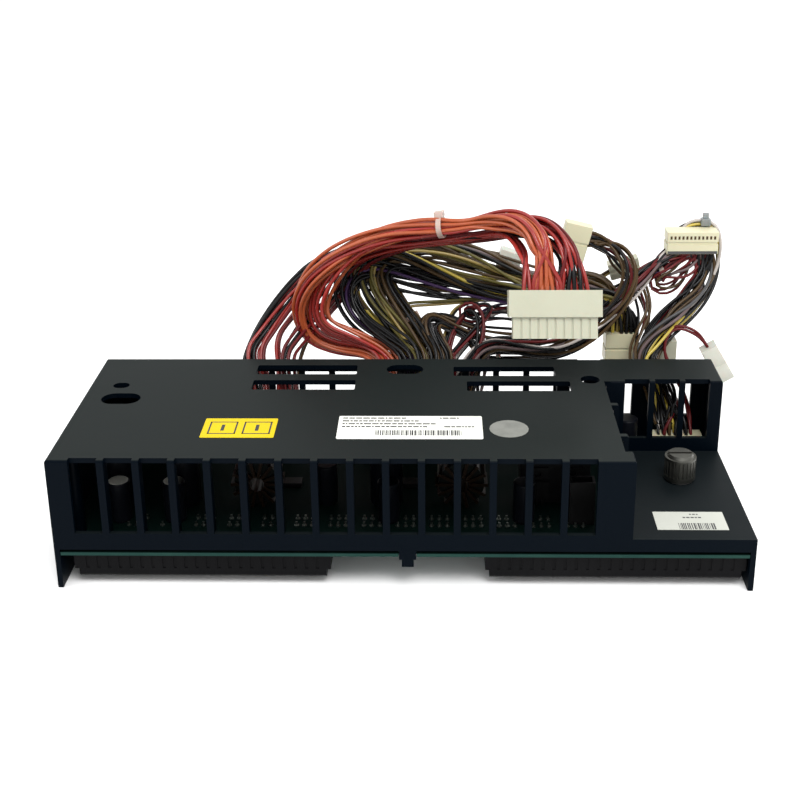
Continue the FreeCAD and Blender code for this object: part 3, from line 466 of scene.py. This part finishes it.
bundles = {
    "strandsMainRed": ("wires_main_red", {
        "plug": "plug_main", "slot": "wire_red", "seed": 11, "diameter": 9.5, "wire": 2.05, "length": 291.0,
        "spread": 1.3, "loose": 0.14, "endPitch": 2.6, "startPitch": 2.6, "ties": [0.75],
        "colours": ["red", "orange", "red", "orange", "orange", "red", "orange", "brightRed", "orange",
                    "orange", "red", "orange", "red", "orange"],
        "points": [
            (-11, 44, 29), (-11, 47, 39), (-11, 59, 49), (-12, 72, 58), (-22, 80, 62), (-39, 83, 62),
            (-54, 84, 68), (-59, 83, 84), (-54, 80, 100), (-42, 77, 113), (-27, 74, 123), (-9, 71, 131),
            (9, 67, 135), (27, 62, 138), (43, 54, 143), (56, 45, 146), (65, 35, 142), (69, 25.9, 129),
            (69.5, 21, 115.8)]}),
    "strandsMainBlack": ("wires_main_black", {
        "plug": "plug_main", "slot": "wire_black", "seed": 12, "diameter": 5.0, "wire": 2.0, "length": 288.0,
        "endPitch": 3.0, "spread": 1.25, "colours": ["black", "black", "black", "black", "black"],
        "points": [
            (-81, 44, 29), (-81, 47, 37), (-81, 58, 45), (-88, 67, 57), (-83, 77, 70), (-71.5, 87, 86.5),
            (-56, 92.5, 104.5), (-39, 92, 113), (-17, 88, 122.5), (6, 83, 129), (28, 77, 133.5),
            (48, 69, 138.5), (64, 59, 141.5), (75, 47, 141), (81, 37, 135), (82.8, 25.6, 127.8),
            (82.5, 21.1, 115.9)]}),
    "strandsMainInner": ("wires_main_inner", {
        "plug": "plug_main", "slot": "wire_red", "seed": 13, "diameter": 5.0, "wire": 2.0, "length": 258.0,
        "endPitch": 3.0, "spread": 1.25, "colours": ["red", "darkRed", "red", "brightRed"],
        "points": [
            (-67.3, 44, 29), (-67.3, 47, 37), (-67.3, 58, 45), (-69, 69, 54), (-73, 84, 67), (-64, 92, 77),
            (-51, 95, 90), (-37, 95, 104), (-18, 90, 115), (4, 83, 122), (25, 75, 126), (43, 66, 132),
            (52, 54, 136), (57, 42, 134), (59.3, 25.9, 129.5), (59.5, 21, 115.8)]}),
    "strandsClearPlug": ("wires_clear_plug", {
        "plug": "plug_clear", "slot": "wire_dark_red", "seed": 14, "diameter": 3.6, "wire": 1.6,
        "length": 193.5, "endUpright": True, "endPitch": 2.0, "startPitch": 2.0,
        "colours": ["brown", "black", "brown"],
        "points": [
            (-61.5, 44, 29), (-61.5, 47, 36), (-61.5, 58, 43), (-61, 72, 48), (-60, 90, 58),
            (-51, 104, 70), (-41, 111, 83), (-30, 114, 96), (-14, 115, 104), (6, 115.5, 105),
            (24, 115.5, 104), (40, 114, 108), (50.5, 112, 105.6)]}),
    "strandsCreamOuter": ("wires_cream_outer", {
        "plug": "plug_cream", "slot": "wire_yellow", "seed": 15, "diameter": 6.0, "wire": 1.9,
        "length": 274.0, "spread": 1.55, "startPitch": 2.6,
        "colours": ["black", "yellow", "black", "brown", "black", "olive", "black", "black"],
        "points": [
            (-1.5, 44, 29), (-1.5, 47, 38), (-1.5, 58, 47), (-3, 70, 56), (-6, 86, 66), (-18, 93, 77),
            (-27, 98, 90), (-28, 101, 103), (-19, 101, 112), (-2, 100, 109), (17, 99, 100), (37, 97, 91),
            (56, 94, 88), (77, 91, 88), (97, 87, 91), (112, 84, 91), (119, 82.5, 82), (119.5, 82, 70.5)]}),
    "strandsCreamInner": ("wires_cream_inner", {
        "plug": "plug_cream", "slot": "wire_olive", "seed": 16, "diameter": 6.0, "wire": 1.9,
        "length": 263.0, "spread": 1.55, "startPitch": 2.6,
        "colours": ["brown", "brown", "gold", "brown", "olive", "brown", "brown", "olive"],
        "points": [
            (6.5, 44, 29), (6.5, 47, 38), (6.5, 58, 47), (6, 71, 57), (5, 86, 69), (-3, 94, 82),
            (-11, 101, 93), (-17, 107, 105), (-10, 111, 114), (5, 112, 114), (23, 110, 107),
            (42, 107, 99), (62, 103, 95), (82, 100, 95), (98, 98, 97), (109, 95, 93), (112, 91, 82),
            (111.5, 88, 70.5)]}),
    "strandsWhitePlug": ("wires_white_plug", {
        "plug": "plug_white", "slot": "wire_yellow", "seed": 17, "diameter": 3.2, "wire": 1.5,
        "length": 165.5, "endUpright": True, "endPitch": 1.8, "startPitch": 1.8,
        "colours": ["gold", "black", "brown"],
        "points": [
            (13, 44, 29), (13, 47, 37), (13, 58, 45), (14, 70, 54), (21, 84, 71), (24, 93, 80),
            (35, 100, 83), (56, 104, 83), (78, 106, 84), (93, 106, 87), (103, 107, 92),
            (111.5, 108, 97.6)]}),
    "strandsTallPlug": ("wires_tall_plug", {
        "plug": "plug_tall", "slot": "wire_dark_red", "seed": 18, "diameter": 5.5, "wire": 1.8,
        "length": 186.0, "endUpright": True, "spread": 1.5, "startPitch": 2.6,
        "colours": ["brown", "black", "brown", "brown", "black", "darkRed", "brown"],
        "points": [
            (25.6, 44, 29), (25.6, 47, 38), (26, 58, 46), (30, 70, 54), (41, 77, 61), (57, 76, 61),
            (75, 74, 61), (93, 73, 68), (107, 75, 81), (117, 76.5, 95), (120, 81, 108), (112, 89, 118.5),
            (104, 91, 121.5), (95.5, 91, 122)]}),
    "strandsTwoRowLeft": ("wires_two_row_left", {
        "plug": "plug_two_row", "slot": "wire_black", "seed": 19, "diameter": 5.0, "wire": 1.7,
        "length": 194.0, "spread": 1.4, "colours": ["black", "white", "black", "purple", "grey", "darkRed"],
        "points": [
            (18.6, 44, 29), (18.6, 47, 37), (18.6, 58, 46), (21, 71, 57), (35, 84, 70), (41, 94, 77),
            (53, 99, 80), (69, 100, 79), (88, 101, 79), (106, 102, 82), (120, 100, 91), (133, 98, 99),
            (143, 99, 103), (147, 100, 112)]}),
    "strandsTwoRowRight": ("wires_two_row_right", {
        "plug": "plug_two_row", "slot": "wire_black", "seed": 20, "diameter": 8.0, "wire": 1.8,
        "length": 119.0, "spread": 1.5, "endPitch": 2.2,
        "colours": ["black", "grey", "darkRed", "black", "brown", "black", "black", "yellow", "black",
                    "grey", "black", "black", "brown"],
        "points": [
            (140, 41.5, 29), (140, 45, 39), (136, 58, 48), (125, 68, 59), (131, 77, 70), (145, 87, 81),
            (158, 94, 92), (162, 98, 102), (159, 100.5, 112)]}),
    "strandsCornerPlug": ("wires_corner_plug", {
        "plug": "plug_corner", "slot": "wire_red", "seed": 21, "diameter": 3.4, "wire": 1.6,
        "length": 87.0, "endPitch": 1.8, "startPitch": 2.0, "blendIn": 14.0, "blendOut": 14.0,
        "colours": ["darkRed", "darkRed"],
        "points": [
            (148.3, 41.5, 29), (148.3, 45, 37), (147.6, 57, 46), (141, 67, 56), (137, 71, 65),
            (138, 74.5, 73), (143.5, 76, 77.5), (150.5, 75, 76.5), (157, 73, 72.5), (160.8, 72, 66)]}),
    "strandsTowerPlug": ("wires_tower_plug", {
        "plug": "plug_tower", "slot": "wire_black", "seed": 22, "diameter": 3.4, "wire": 1.6,
        "length": 51.0, "endPitch": 2.0, "startPitch": 2.0, "blendIn": 10.0, "blendOut": 10.0,
        "colours": ["black", "white"],
        "points": [
            (131.5, 41.5, 29), (131.5, 45, 36), (132, 56, 39), (134, 66, 37), (139, 75, 35),
            (140.5, 80, 39), (140.5, 80, 45)]}),
}
for name, (node, look) in bundles.items():
    makeBundle(name, node, look)

# single wires that stray from the bundles, and fill them out
strays = {
    "strayOrange": {
        "slot": "wire_red", "seed": 31, "diameter": 8.0, "wire": 2.05, "spread": 1.0, "ties": [0.75],
        "colours": ["orange", "red", "orange", "brightRed", "orange", "red"],
        "points": [
            (-6, 46, 31), (-6, 58, 44), (-5, 68, 55), (-12, 76, 62), (-30.2, 76, 70.9), (-44.3, 78, 76),
            (-48.5, 80, 85), (-44.8, 79, 98), (-35.7, 77, 111.1), (-24.6, 74, 121.5), (-9, 71, 129),
            (7, 67, 133), (25, 62, 136), (42.6, 55, 141.5), (56, 46, 145.5), (64.5, 36, 143),
            (67.5, 29, 136), (67, 24, 126), (66, 22, 117)]},
    "strayRed": {
        "slot": "wire_red", "seed": 32, "diameter": 5.0, "wire": 2.0, "spread": 1.1,
        "colours": ["darkRed", "red", "red"],
        "points": [
            (-71, 46, 31), (-74, 58, 45), (-80.8, 70, 64.6), (-72.9, 80, 74.6), (-64.3, 86, 85.7),
            (-53.1, 88, 99.4), (-40.6, 86, 112.6), (-24, 82, 122.3), (-3.6, 78, 127.4), (17.4, 73, 131.6),
            (38, 66, 136.4), (57.8, 56, 143.1), (71, 46, 145), (79.6, 36, 139.2), (86, 28, 129.5),
            (88, 22.5, 116)]},
    "strayBrown": {
        "slot": "wire_olive", "seed": 33, "diameter": 11.0, "wire": 1.8, "spread": 1.3,
        "colours": ["brown", "olive", "brown", "brown", "gold", "brown", "olive", "brown", "black", "brown",
                    "mauve", "brown"],
        "points": [
            (9, 46, 31), (10, 58, 45), (14.1, 68, 60), (5.5, 78, 69.5), (-5.6, 88, 79.1),
            (-15.6, 96, 89.6), (-20, 101, 100.1), (-15.1, 105, 107.6), (-2.4, 106, 111.9),
            (17.5, 106, 111.1), (35.7, 105, 106.8), (53.3, 103, 99.8), (71.4, 100, 93.8),
            (89.7, 96, 92.3), (104.5, 92, 91.4), (113.5, 88, 85.3), (115, 85, 82), (115, 85, 70)]},
    "strayBlack": {
        "slot": "wire_black", "seed": 34, "diameter": 11.0, "wire": 1.8, "spread": 1.3,
        "colours": ["black", "black", "purple", "black", "black", "grey", "black", "black", "brown", "black",
                    "black"],
        "points": [
            (-4, 46, 31), (-3, 58, 45), (2.4, 68, 60), (-10.8, 78, 68), (-26.4, 86, 74),
            (-34.8, 93, 84.3), (-36, 98, 95.3), (-28.7, 101, 104.8), (-14.5, 102, 105), (2, 102, 99.1),
            (23, 100, 92.8), (45, 98, 89.3), (66.8, 95, 87.5), (89.3, 91, 87.1), (106.4, 88, 85.3),
            (116.2, 86, 80), (118, 86, 76), (118, 86, 70)]},
    "strayYellow": {
        "slot": "wire_yellow", "seed": 35, "diameter": 4.0, "wire": 1.9, "colours": ["yellow", "gold"],
        "points": [
            (0, 46, 31), (1, 58, 45), (2.4, 68, 62), (-7.6, 78, 69.5), (-18.8, 88, 75),
            (-27.8, 95, 83.5), (-30, 100, 94.6), (-23.4, 104, 106.1), (-11.2, 105, 109.8),
            (8.6, 105, 103.9), (32.4, 103, 96.4), (56, 100, 93.9), (83.1, 96, 92.9), (102.8, 92, 92.6),
            (110.7, 88, 85.9), (111, 84, 82), (111, 84, 70)]},
    "strayOlive": {
        "slot": "wire_olive", "seed": 36, "diameter": 4.0, "wire": 1.8, "colours": ["gold", "olive"],
        "points": [
            (4, 46, 31), (5, 58, 45), (6.6, 70, 61), (-4.3, 80, 70.5), (-12.2, 90, 76.5), (-3, 96, 81.9),
            (15.8, 98, 82.3), (35.7, 98, 84.1), (55.9, 97, 87.9), (82.9, 93, 91.1), (104.4, 90, 88.7),
            (116.2, 87, 81.1), (121, 84, 78), (121, 84, 70)]},
    "strayLoop": {
        "slot": "wire_dark_red", "seed": 37, "diameter": 4.0, "wire": 1.8,
        "colours": ["darkRed", "black", "darkRed"],
        "points": [
            (16, 46, 31), (16, 58, 44), (20.6, 68, 61), (29.2, 72, 69.6), (37.8, 76, 77.3),
            (43.3, 80, 82.6), (46.6, 84, 86.3), (41.3, 86, 87.9), (33.7, 86, 84.4), (27.2, 84, 78.8),
            (22.8, 80, 70), (20, 70, 58), (18, 58, 46), (17, 47, 32)]},
    "strayLow": {
        "slot": "wire_black", "seed": 38, "diameter": 8.0, "wire": 1.6, "spread": 1.2,
        "colours": ["black", "darkRed", "brown", "black", "mauve", "black", "brown", "grey"],
        "points": [
            (20, 46, 31), (21, 58, 44), (18.4, 68, 62), (10.9, 74, 72.9), (9, 80, 79), (14, 84, 80.5),
            (24, 83, 76), (38, 80, 70.4), (56.2, 76, 69.1), (73.8, 74, 69.9), (88.1, 74, 73.4),
            (104.2, 78, 83.3), (116.4, 84, 91.4), (127.5, 90, 100.7), (136.5, 96, 108), (146, 100, 112)]},
    "strayWhite": {
        "slot": "wire_black", "seed": 39, "diameter": 7.0, "wire": 1.6, "spread": 1.2,
        "colours": ["white", "black", "mauve", "black", "black", "darkRed", "black"],
        "points": [
            (24, 46, 31), (25, 58, 44), (33.4, 68, 61), (43, 71, 68.3), (54.7, 71, 67.7),
            (69.1, 70, 66.5), (81.4, 70, 66.6), (96.4, 72, 74.8), (112.8, 80, 87.1), (125.2, 88, 98.5),
            (133.7, 94, 105.5), (144, 100, 112)]},
    "strayTall": {
        "slot": "wire_black", "seed": 40, "diameter": 8.0, "wire": 1.6, "spread": 1.1, "startPitch": 3.6,
        "colours": ["brown", "brown", "black", "darkRed", "brown", "brown"],
        "points": [
            (96, 91, 119.8), (105, 92, 116.5), (113.4, 93, 111.1), (120.9, 93, 102), (126.6, 91, 91.1),
            (129, 86, 81.4), (125, 78, 72.9), (121, 71, 64), (124, 64, 55), (130, 56, 47),
            (133, 46, 34)]},
    "strayHump": {
        "slot": "wire_black", "seed": 41, "diameter": 6.0, "wire": 1.7, "spread": 1.0,
        "colours": ["black", "brown", "yellow", "black", "white"],
        "points": [
            (144, 102, 114), (145, 104, 118), (148.6, 107, 121.5), (154, 108, 124), (161.5, 108, 124.4),
            (166.9, 107, 122.4), (169, 104, 116.5), (169.5, 101, 107.2), (167.3, 97, 97),
            (160.8, 91, 87), (151.5, 84, 78.7), (139.9, 77, 71), (130, 71, 62), (130, 60, 50),
            (134, 46, 34)]},
    "strayDark": {
        "slot": "wire_dark_red", "seed": 42, "diameter": 7.0, "wire": 1.5, "spread": 1.3, "startPitch": 2.4,
        "endPitch": 2.4, "colours": ["darkRed", "brown", "darkRed", "darkRed", "mauve", "darkRed", "darkRed"],
        "points": [
            (157, 100.5, 113), (154.5, 100, 109.3), (148.8, 98, 108.2), (141.2, 96, 104.3),
            (135.4, 95, 98.9), (134, 95, 94.9), (138.4, 95, 93.2), (145, 96, 95.7), (151.3, 97, 100.5),
            (156, 99, 106.7), (160, 100.5, 113)]},
    "strayFan": {
        "slot": "wire_red", "seed": 43, "diameter": 9.0, "wire": 1.8, "spread": 1.3, "startPitch": 4.4,
        "colours": ["darkRed", "black", "red", "darkRed", "black", "darkRed", "red", "black"],
        "points": [
            (-62, 46, 31), (-61, 57, 43), (-66.6, 68, 62.5), (-60.9, 78, 69), (-54.5, 88, 75),
            (-47.3, 96, 81.4), (-40.1, 100, 89.3), (-33.3, 101, 98.9), (-23, 98, 109.8), (-5.1, 90, 118),
            (19.5, 80, 125), (44.3, 69, 131.7), (61.5, 57, 137.5), (71.7, 46, 138.2), (77.2, 35, 134.9),
            (80.2, 28, 128.4), (78, 22, 116)]},
    "strayEdge": {
        "slot": "wire_red", "seed": 44, "diameter": 8.0, "wire": 1.9, "spread": 1.1, "startPitch": 3.6,
        "colours": ["red", "darkRed", "red", "black", "red"],
        "points": [
            (-76, 46, 31), (-77, 57, 44), (-85.4, 68, 64.9), (-79.3, 78, 71.9), (-71.5, 85, 82),
            (-62.2, 89, 93.3), (-50.9, 90, 104.5), (-36.3, 87, 114.6), (-18.7, 83, 122), (3.7, 77, 127.1),
            (27.8, 69, 132.8), (50.3, 58, 139.8), (67.1, 47, 144.1), (76.2, 37, 141), (81.6, 29, 132.2),
            (84, 22, 116)]},
    "strayUnder": {
        "slot": "wire_black", "seed": 45, "diameter": 11.0, "wire": 1.8, "spread": 1.3,
        "colours": ["black", "black", "olive", "black", "brown", "black", "black", "purple", "black"],
        "points": [
            (-2, 46, 31), (-1, 58, 45), (3.5, 66, 63.4), (-11.3, 76, 69.2), (-24.1, 86, 75.7),
            (-30.9, 93, 84.8), (-29.9, 98, 93), (-21.2, 101, 97.2), (-6.8, 101, 94.2), (10.8, 100, 89.8),
            (32.9, 98, 87), (57, 96, 85.4), (83, 93, 85.8), (103.2, 88, 85.3), (114.1, 86, 78),
            (118, 86, 74), (118, 86, 70)]},
    "strayDeep": {
        "slot": "wire_olive", "seed": 46, "diameter": 10.0, "wire": 1.8, "spread": 1.3,
        "colours": ["brown", "black", "brown", "olive", "black", "brown", "black", "brown"],
        "points": [
            (12, 46, 31), (13, 58, 45), (16.3, 66, 63.4), (8.7, 76, 70.3), (-2.2, 86, 79.2),
            (-12.7, 94, 89.1), (-16.7, 100, 98.1), (-10.1, 104, 104.3), (5.3, 105, 102.8),
            (25.8, 104, 97.2), (50.5, 101, 92.9), (76.7, 97, 91.4), (99, 91, 90.6), (110.8, 88, 84.2),
            (114, 86, 80), (114, 86, 70)]},
    "strayKnot": {
        "slot": "wire_black", "seed": 47, "diameter": 7.0, "wire": 1.6, "spread": 1.2,
        "colours": ["black", "darkRed", "black", "brown", "black", "mauve"],
        "points": [
            (22, 46, 31), (22, 58, 44), (23.8, 68, 62.5), (18.4, 72, 68.4), (13.1, 78, 74.2),
            (15.2, 82, 78.4), (22.8, 84, 76.5), (30.5, 84, 71.8), (35.9, 80, 67.5), (41, 72, 64.9),
            (36, 58, 46), (36, 47, 32)]},
    "strayHook": {
        "slot": "wire_dark_red", "seed": 48, "diameter": 5.0, "wire": 1.6, "spread": 1.2,
        "colours": ["darkRed", "black", "darkRed", "black"],
        "points": [
            (30, 46, 31), (30, 58, 44), (37.6, 66, 64), (39.9, 72, 70.7), (40.6, 78, 78.8), (37.9, 82, 84.8),
            (32.6, 84, 85.8), (29.3, 84, 82.3), (33.7, 84, 78.8), (43.4, 84, 80.3), (54, 86, 80),
            (70.6, 86, 76.2), (86, 80, 74), (98, 80, 80), (110, 86, 88), (122, 92, 98), (134, 97, 106),
            (147, 100, 112)]},
    "strayFloorRun": {
        "slot": "wire_black", "seed": 49, "diameter": 7.0, "wire": 1.6, "spread": 1.2,
        "colours": ["black", "brown", "black", "mauve", "black", "darkRed"],
        "points": [
            (28, 46, 31), (29, 58, 43), (35.4, 64, 65.9), (45.1, 68, 71.2), (57.4, 68, 70.1),
            (73.4, 68, 68.9), (86.9, 72, 71.9), (99.1, 78, 78.7), (110.2, 84, 85.7), (121.5, 90, 92.7),
            (132.5, 95, 102.4), (145, 100, 112)]},
    "strayRight": {
        "slot": "wire_black", "seed": 50, "diameter": 9.0, "wire": 1.7, "spread": 1.2,
        "colours": ["black", "yellow", "black", "mauve", "black", "brown", "black", "grey"],
        "points": [
            (137, 46, 34), (134, 58, 48), (123.8, 66, 60.4), (130.7, 72, 70.7), (139.7, 78, 78.7),
            (150.3, 86, 86), (158.3, 92, 95.3), (162, 98, 104.7), (161.1, 100, 112)]},
}
for name, look in strays.items():
    makeBundle(name, None, look)
print("stage: wires")


def makeTwoRowMarks():
    # the contact slots along the two-row plug's upper front, as dark patches of painted shade where their
    # openings are, and the darker band at its foot
    settings = {"front": 95.0, "left": 139.9, "right": 167.3, "slots": 12, "slotWidth": 1.1,
                "slotMargin": 1.0, "slotHeights": (119.6, 121.4), "bandMargin": 0.4,
                "bandHeights": (111.5, 113.0), "depth": 0.12, "sunk": 0.1}
    left, right, front = settings["left"], settings["right"], settings["front"]
    margin, half = settings["slotMargin"], settings["slotWidth"] / 2
    pitch = (right - left - 2 * margin) / settings["slots"]
    middles = [left + margin + pitch * (number + 0.5) for number in range(settings["slots"])]
    marks = [(middle - half, middle + half, settings["slotHeights"], 0) for middle in middles]
    marks.append((left + settings["bandMargin"], right - settings["bandMargin"], settings["bandHeights"], 1))
    mesh = bmesh.new()
    for start, end, (low, high), materialIndex in marks:
        slab(mesh, (start, front - settings["depth"], low), (end, front + settings["sunk"], high),
             materialIndex)
    addPiece("twoRowMarks", closeMesh("twoRowMarks", mesh), "cream_nylon",
             [wireMaterials["brown"], wireMaterials["grey"]])


def makeTieTail():
    # a cable tie's head and cut tail, standing on the hump of wires over the two-row plug
    settings = {"place": (162.0, 107.0, 124.4), "head": (5.2, 4.4, 4.2), "headSunk": 0.6,
                "tail": (3.4, 1.2, 3.4), "tailSunk": 0.8, "bevel": 0.5,
                "look": {"colour": (0.27, 0.29, 0.29), "patch": (0.18, 0.2, 0.2), "rough": 0.3, "milky": 0.2,
                         "clear": 0.3, "patchScale": 200.0}}
    x, y, z = settings["place"]
    mesh = bmesh.new()
    for (wide, deep, high), low in ((settings["head"], z - settings["headSunk"]),
                                    (settings["tail"], z + settings["head"][2] - settings["tailSunk"])):
        verts = slab(mesh, (x - wide / 2, y - deep / 2, low), (x + wide / 2, y + deep / 2, low + high))
        edges = {edge for vert in verts for edge in vert.link_edges}
        bmesh.ops.bevel(mesh, geom=list(edges), offset=settings["bevel"] * mm, offset_type="OFFSET",
                        segments=2, profile=0.5, affect="EDGES", material=-1)
    addPiece("tieTail", closeMesh("tieTail", mesh), "tie_nylon",
             [makeMaterial("tieTailNylon", settings["look"])])


makeTwoRowMarks()
makeTieTail()
print("stage: plug details")


labelLooks = {
    "labelYellow": {"colour": (0.62, 0.46, 0.004), "patch": (0.56, 0.41, 0.006), "rough": 0.45,
                    "shine": 0.12},
    "labelWhite": {"colour": (0.76, 0.77, 0.71), "patch": (0.7, 0.71, 0.65), "rough": 0.45, "shine": 0.2},
    "labelPale": {"colour": (0.5, 0.51, 0.46), "patch": (0.45, 0.46, 0.41), "rough": 0.45, "shine": 0.2},
    "labelInk": {"colour": (0.02, 0.02, 0.022), "patch": (0.04, 0.04, 0.04), "rough": 0.5},
    "labelSilver": {"colour": (0.21, 0.215, 0.195), "patch": (0.16, 0.165, 0.15), "rough": 0.45, "shine": 0.2,
                    "patchScale": 120.0},
}
labelMaterials = {name: makeMaterial(name, look) for name, look in labelLooks.items()}


def roundedSheet(mesh, centre, size, z, thickness, corner, steps=5):
    # a thin sheet with rounded corners
    half = [size[0] / 2, size[1] / 2]
    outline = []
    for quarter, (sx, sy) in enumerate(((1, 1), (-1, 1), (-1, -1), (1, -1))):
        for number in range(steps + 1):
            angle = math.pi / 2 * (quarter + number / steps)
            outline.append((centre[0] + sx * (half[0] - corner) + corner * math.cos(angle),
                            centre[1] + sy * (half[1] - corner) + corner * math.sin(angle)))
    low, high = [[mesh.verts.new((x * mm, y * mm, height * mm)) for x, y in outline]
                 for height in (z, z + thickness)]
    mesh.faces.new(high)
    mesh.faces.new(list(reversed(low)))
    for index in range(len(outline)):
        follow = (index + 1) % len(outline)
        mesh.faces.new((low[index], low[follow], high[follow], high[index]))


# every sticker has the same thickness, and its marks' feet are sunk into it
sticker = {"thickness": 0.14, "ink": 0.02, "inkSunk": 0.01}


def makeLabel(name, look):
    mesh = bmesh.new()
    x, y = look["centre"]
    roundedSheet(mesh, (x, y), look["size"], look["z"], sticker["thickness"], look["corner"])
    top = look["z"] + sticker["thickness"]
    for x0, y0, x1, y1 in look["marks"]:
        slab(mesh, (x + x0, y + y0, top - sticker["inkSunk"]), (x + x1, y + y1, top + sticker["ink"]), 1)
    addPiece(name, closeMesh(name, mesh), "white_nylon",
             [labelMaterials[look["paper"]], labelMaterials["labelInk"]])


def textBars(rng, x0, x1, y, height, low=0.8, high=3.4, gap=0.5):
    # plain bars in the place of a line of text
    bars = []
    x = x0
    while x < x1 - low:
        width = min(rng.uniform(low, high), x1 - x)
        bars.append((x, y, x + width, y + height))
        x += width + gap
    return bars


def barcode(rng, x0, x1, y, height, widths=(0.25, 0.25, 0.5, 0.75), gaps=(0.3, 0.3, 0.55)):
    # bars that carry no code
    bars = []
    x = x0
    while x < x1:
        width = rng.choice(widths)
        bars.append((x, y, x + width, y + height))
        x += width + rng.choice(gaps)
    return bars


def frameMarks(x0, y0, x1, y1, line):
    return [(x0, y0, x1, y0 + line), (x0, y1 - line, x1, y1), (x0, y0, x0 + line, y1),
            (x1 - line, y0, x1, y1)]


labelRng = random.Random(5)
textHeight = 1.2
whiteMarks = []
for start, finish, rowHeight in ((-32.0, -2.0, 9.3), (-32.0, 4.0, 6.2), (-32.0, 12.0, 3.1), (-32.0, 8.0, 0.0),
                                 (14.0, 24.0, 9.3), (16.0, 30.0, 0.0)):
    whiteMarks += textBars(labelRng, start, finish, rowHeight, textHeight)
whiteMarks += barcode(labelRng, -16.0, 24.0, -8.6, 5.4)
yellowMarks = frameMarks(-14.4, -6.4, -1.2, 6.6, 0.8) + frameMarks(1.8, -6.4, 15.0, 6.6, 0.8)
yellowMarks += [(-8.6, -3.0, -7.0, 3.4), (7.6, -3.0, 9.2, 3.4)]
shelfMarks = textBars(labelRng, 0.5, 4.5, 5.4, 0.9, low=0.5, high=1.6)
shelfMarks += textBars(labelRng, -3.0, 5.5, 2.4, 1.0, low=0.6, high=1.8)
shelfMarks += barcode(labelRng, -6.0, 10.5, -7.8, 5.6)

topZ = 65.5
shelfZ = 26.5
labels = {
    "labelTopYellow": {"centre": (-77.0, -25.4), "size": (34.4, 20.4), "z": topZ, "corner": 0.7,
                       "paper": "labelYellow", "marks": yellowMarks},
    "labelTopWhite": {"centre": (3.1, -24.5), "size": (67.8, 24.4), "z": topZ, "corner": 0.9,
                      "paper": "labelWhite", "marks": whiteMarks},
    "labelShelf": {"centre": (132.8, -42.2), "size": (32.5, 16.4), "z": shelfZ, "corner": 0.3,
                   "paper": "labelPale", "marks": shelfMarks},
    "labelRound": {"centre": (49.3, -25.8), "size": (18.3, 18.3), "z": topZ, "corner": 9.149,
                   "paper": "labelSilver", "marks": []},
}
for name, look in labels.items():
    makeLabel(name, look)
print("stage: labels")


def makeFloor():
    settings = {"half": 12.0, "below": 0.0002,
                "look": {"colour": (0.95, 0.95, 0.95), "rough": 0.8, "grainDepth": 0.0}}
    mesh = bpy.data.meshes.new("floor")
    half = settings["half"]
    mesh.from_pydata([(-half, -half, 0), (half, -half, 0), (half, half, 0), (-half, half, 0)], [],
                     [(0, 1, 2, 3)])
    floor = bpy.data.objects.new("floor", mesh)
    bpy.context.scene.collection.objects.link(floor)
    floor.location.z = -settings["below"]
    mesh.materials.append(makeMaterial("floorPaint", settings["look"]))


def makeLights():
    settings = {"world": (1.0, 1.0, 1.0, 1.0), "worldStrength": 0.96, "aim": (0.0, 0.0, 0.04),
                "lamps": {"keyLight": {"place": (0.3, -0.9, 1.6), "size": 0.9, "power": 26.0},
                          "fillLight": {"place": (-1.2, -0.5, 0.9), "size": 1.0, "power": 6.0},
                          "backLight": {"place": (0.7, 1.2, 1.4), "size": 1.2, "power": 12.0}}}
    world = bpy.data.worlds.new("studio")
    world.use_nodes = True
    background = world.node_tree.nodes["Background"]
    background.inputs["Color"].default_value = settings["world"]
    background.inputs["Strength"].default_value = settings["worldStrength"]
    bpy.context.scene.world = world
    for name, look in settings["lamps"].items():
        light = bpy.data.lights.new(name, "AREA")
        light.size = look["size"]
        light.energy = look["power"]
        lamp = bpy.data.objects.new(name, light)
        bpy.context.scene.collection.objects.link(lamp)
        lamp.location = look["place"]
        ahead = Vector(settings["aim"]) - Vector(look["place"])
        lamp.rotation_euler = ahead.to_track_quat("-Z", "Y").to_euler()


def makeCamera():
    # fitted to the corners of the cover in the photograph
    settings = {"place": (0.015871, -0.566387, 0.328183), "yaw": -0.0309, "down": 0.3519, "roll": -0.0120,
                "sensor": 36.0, "lens": 57.606, "shift": -0.125, "nearest": 0.01}
    data = bpy.data.cameras.new("camera")
    data.sensor_width = settings["sensor"]
    data.lens = settings["lens"]
    data.shift_y = settings["shift"]
    data.clip_start = settings["nearest"]
    camera = bpy.data.objects.new("camera", data)
    bpy.context.scene.collection.objects.link(camera)
    yaw, down, roll = settings["yaw"], settings["down"], settings["roll"]
    ahead = Vector((math.sin(yaw) * math.cos(down), math.cos(yaw) * math.cos(down), -math.sin(down)))
    right = Vector((math.cos(yaw), -math.sin(yaw), 0.0))
    up = right.cross(ahead)
    tiltedRight = math.cos(roll) * right + math.sin(roll) * up
    tiltedUp = -math.sin(roll) * right + math.cos(roll) * up
    turned = Matrix((tiltedRight, tiltedUp, -ahead)).transposed().to_4x4()
    camera.matrix_world = Matrix.Translation(settings["place"]) @ turned
    bpy.context.scene.camera = camera


makeFloor()
makeLights()
makeCamera()
bpy.context.scene.view_settings.view_transform = "Standard"
print("stage: studio")
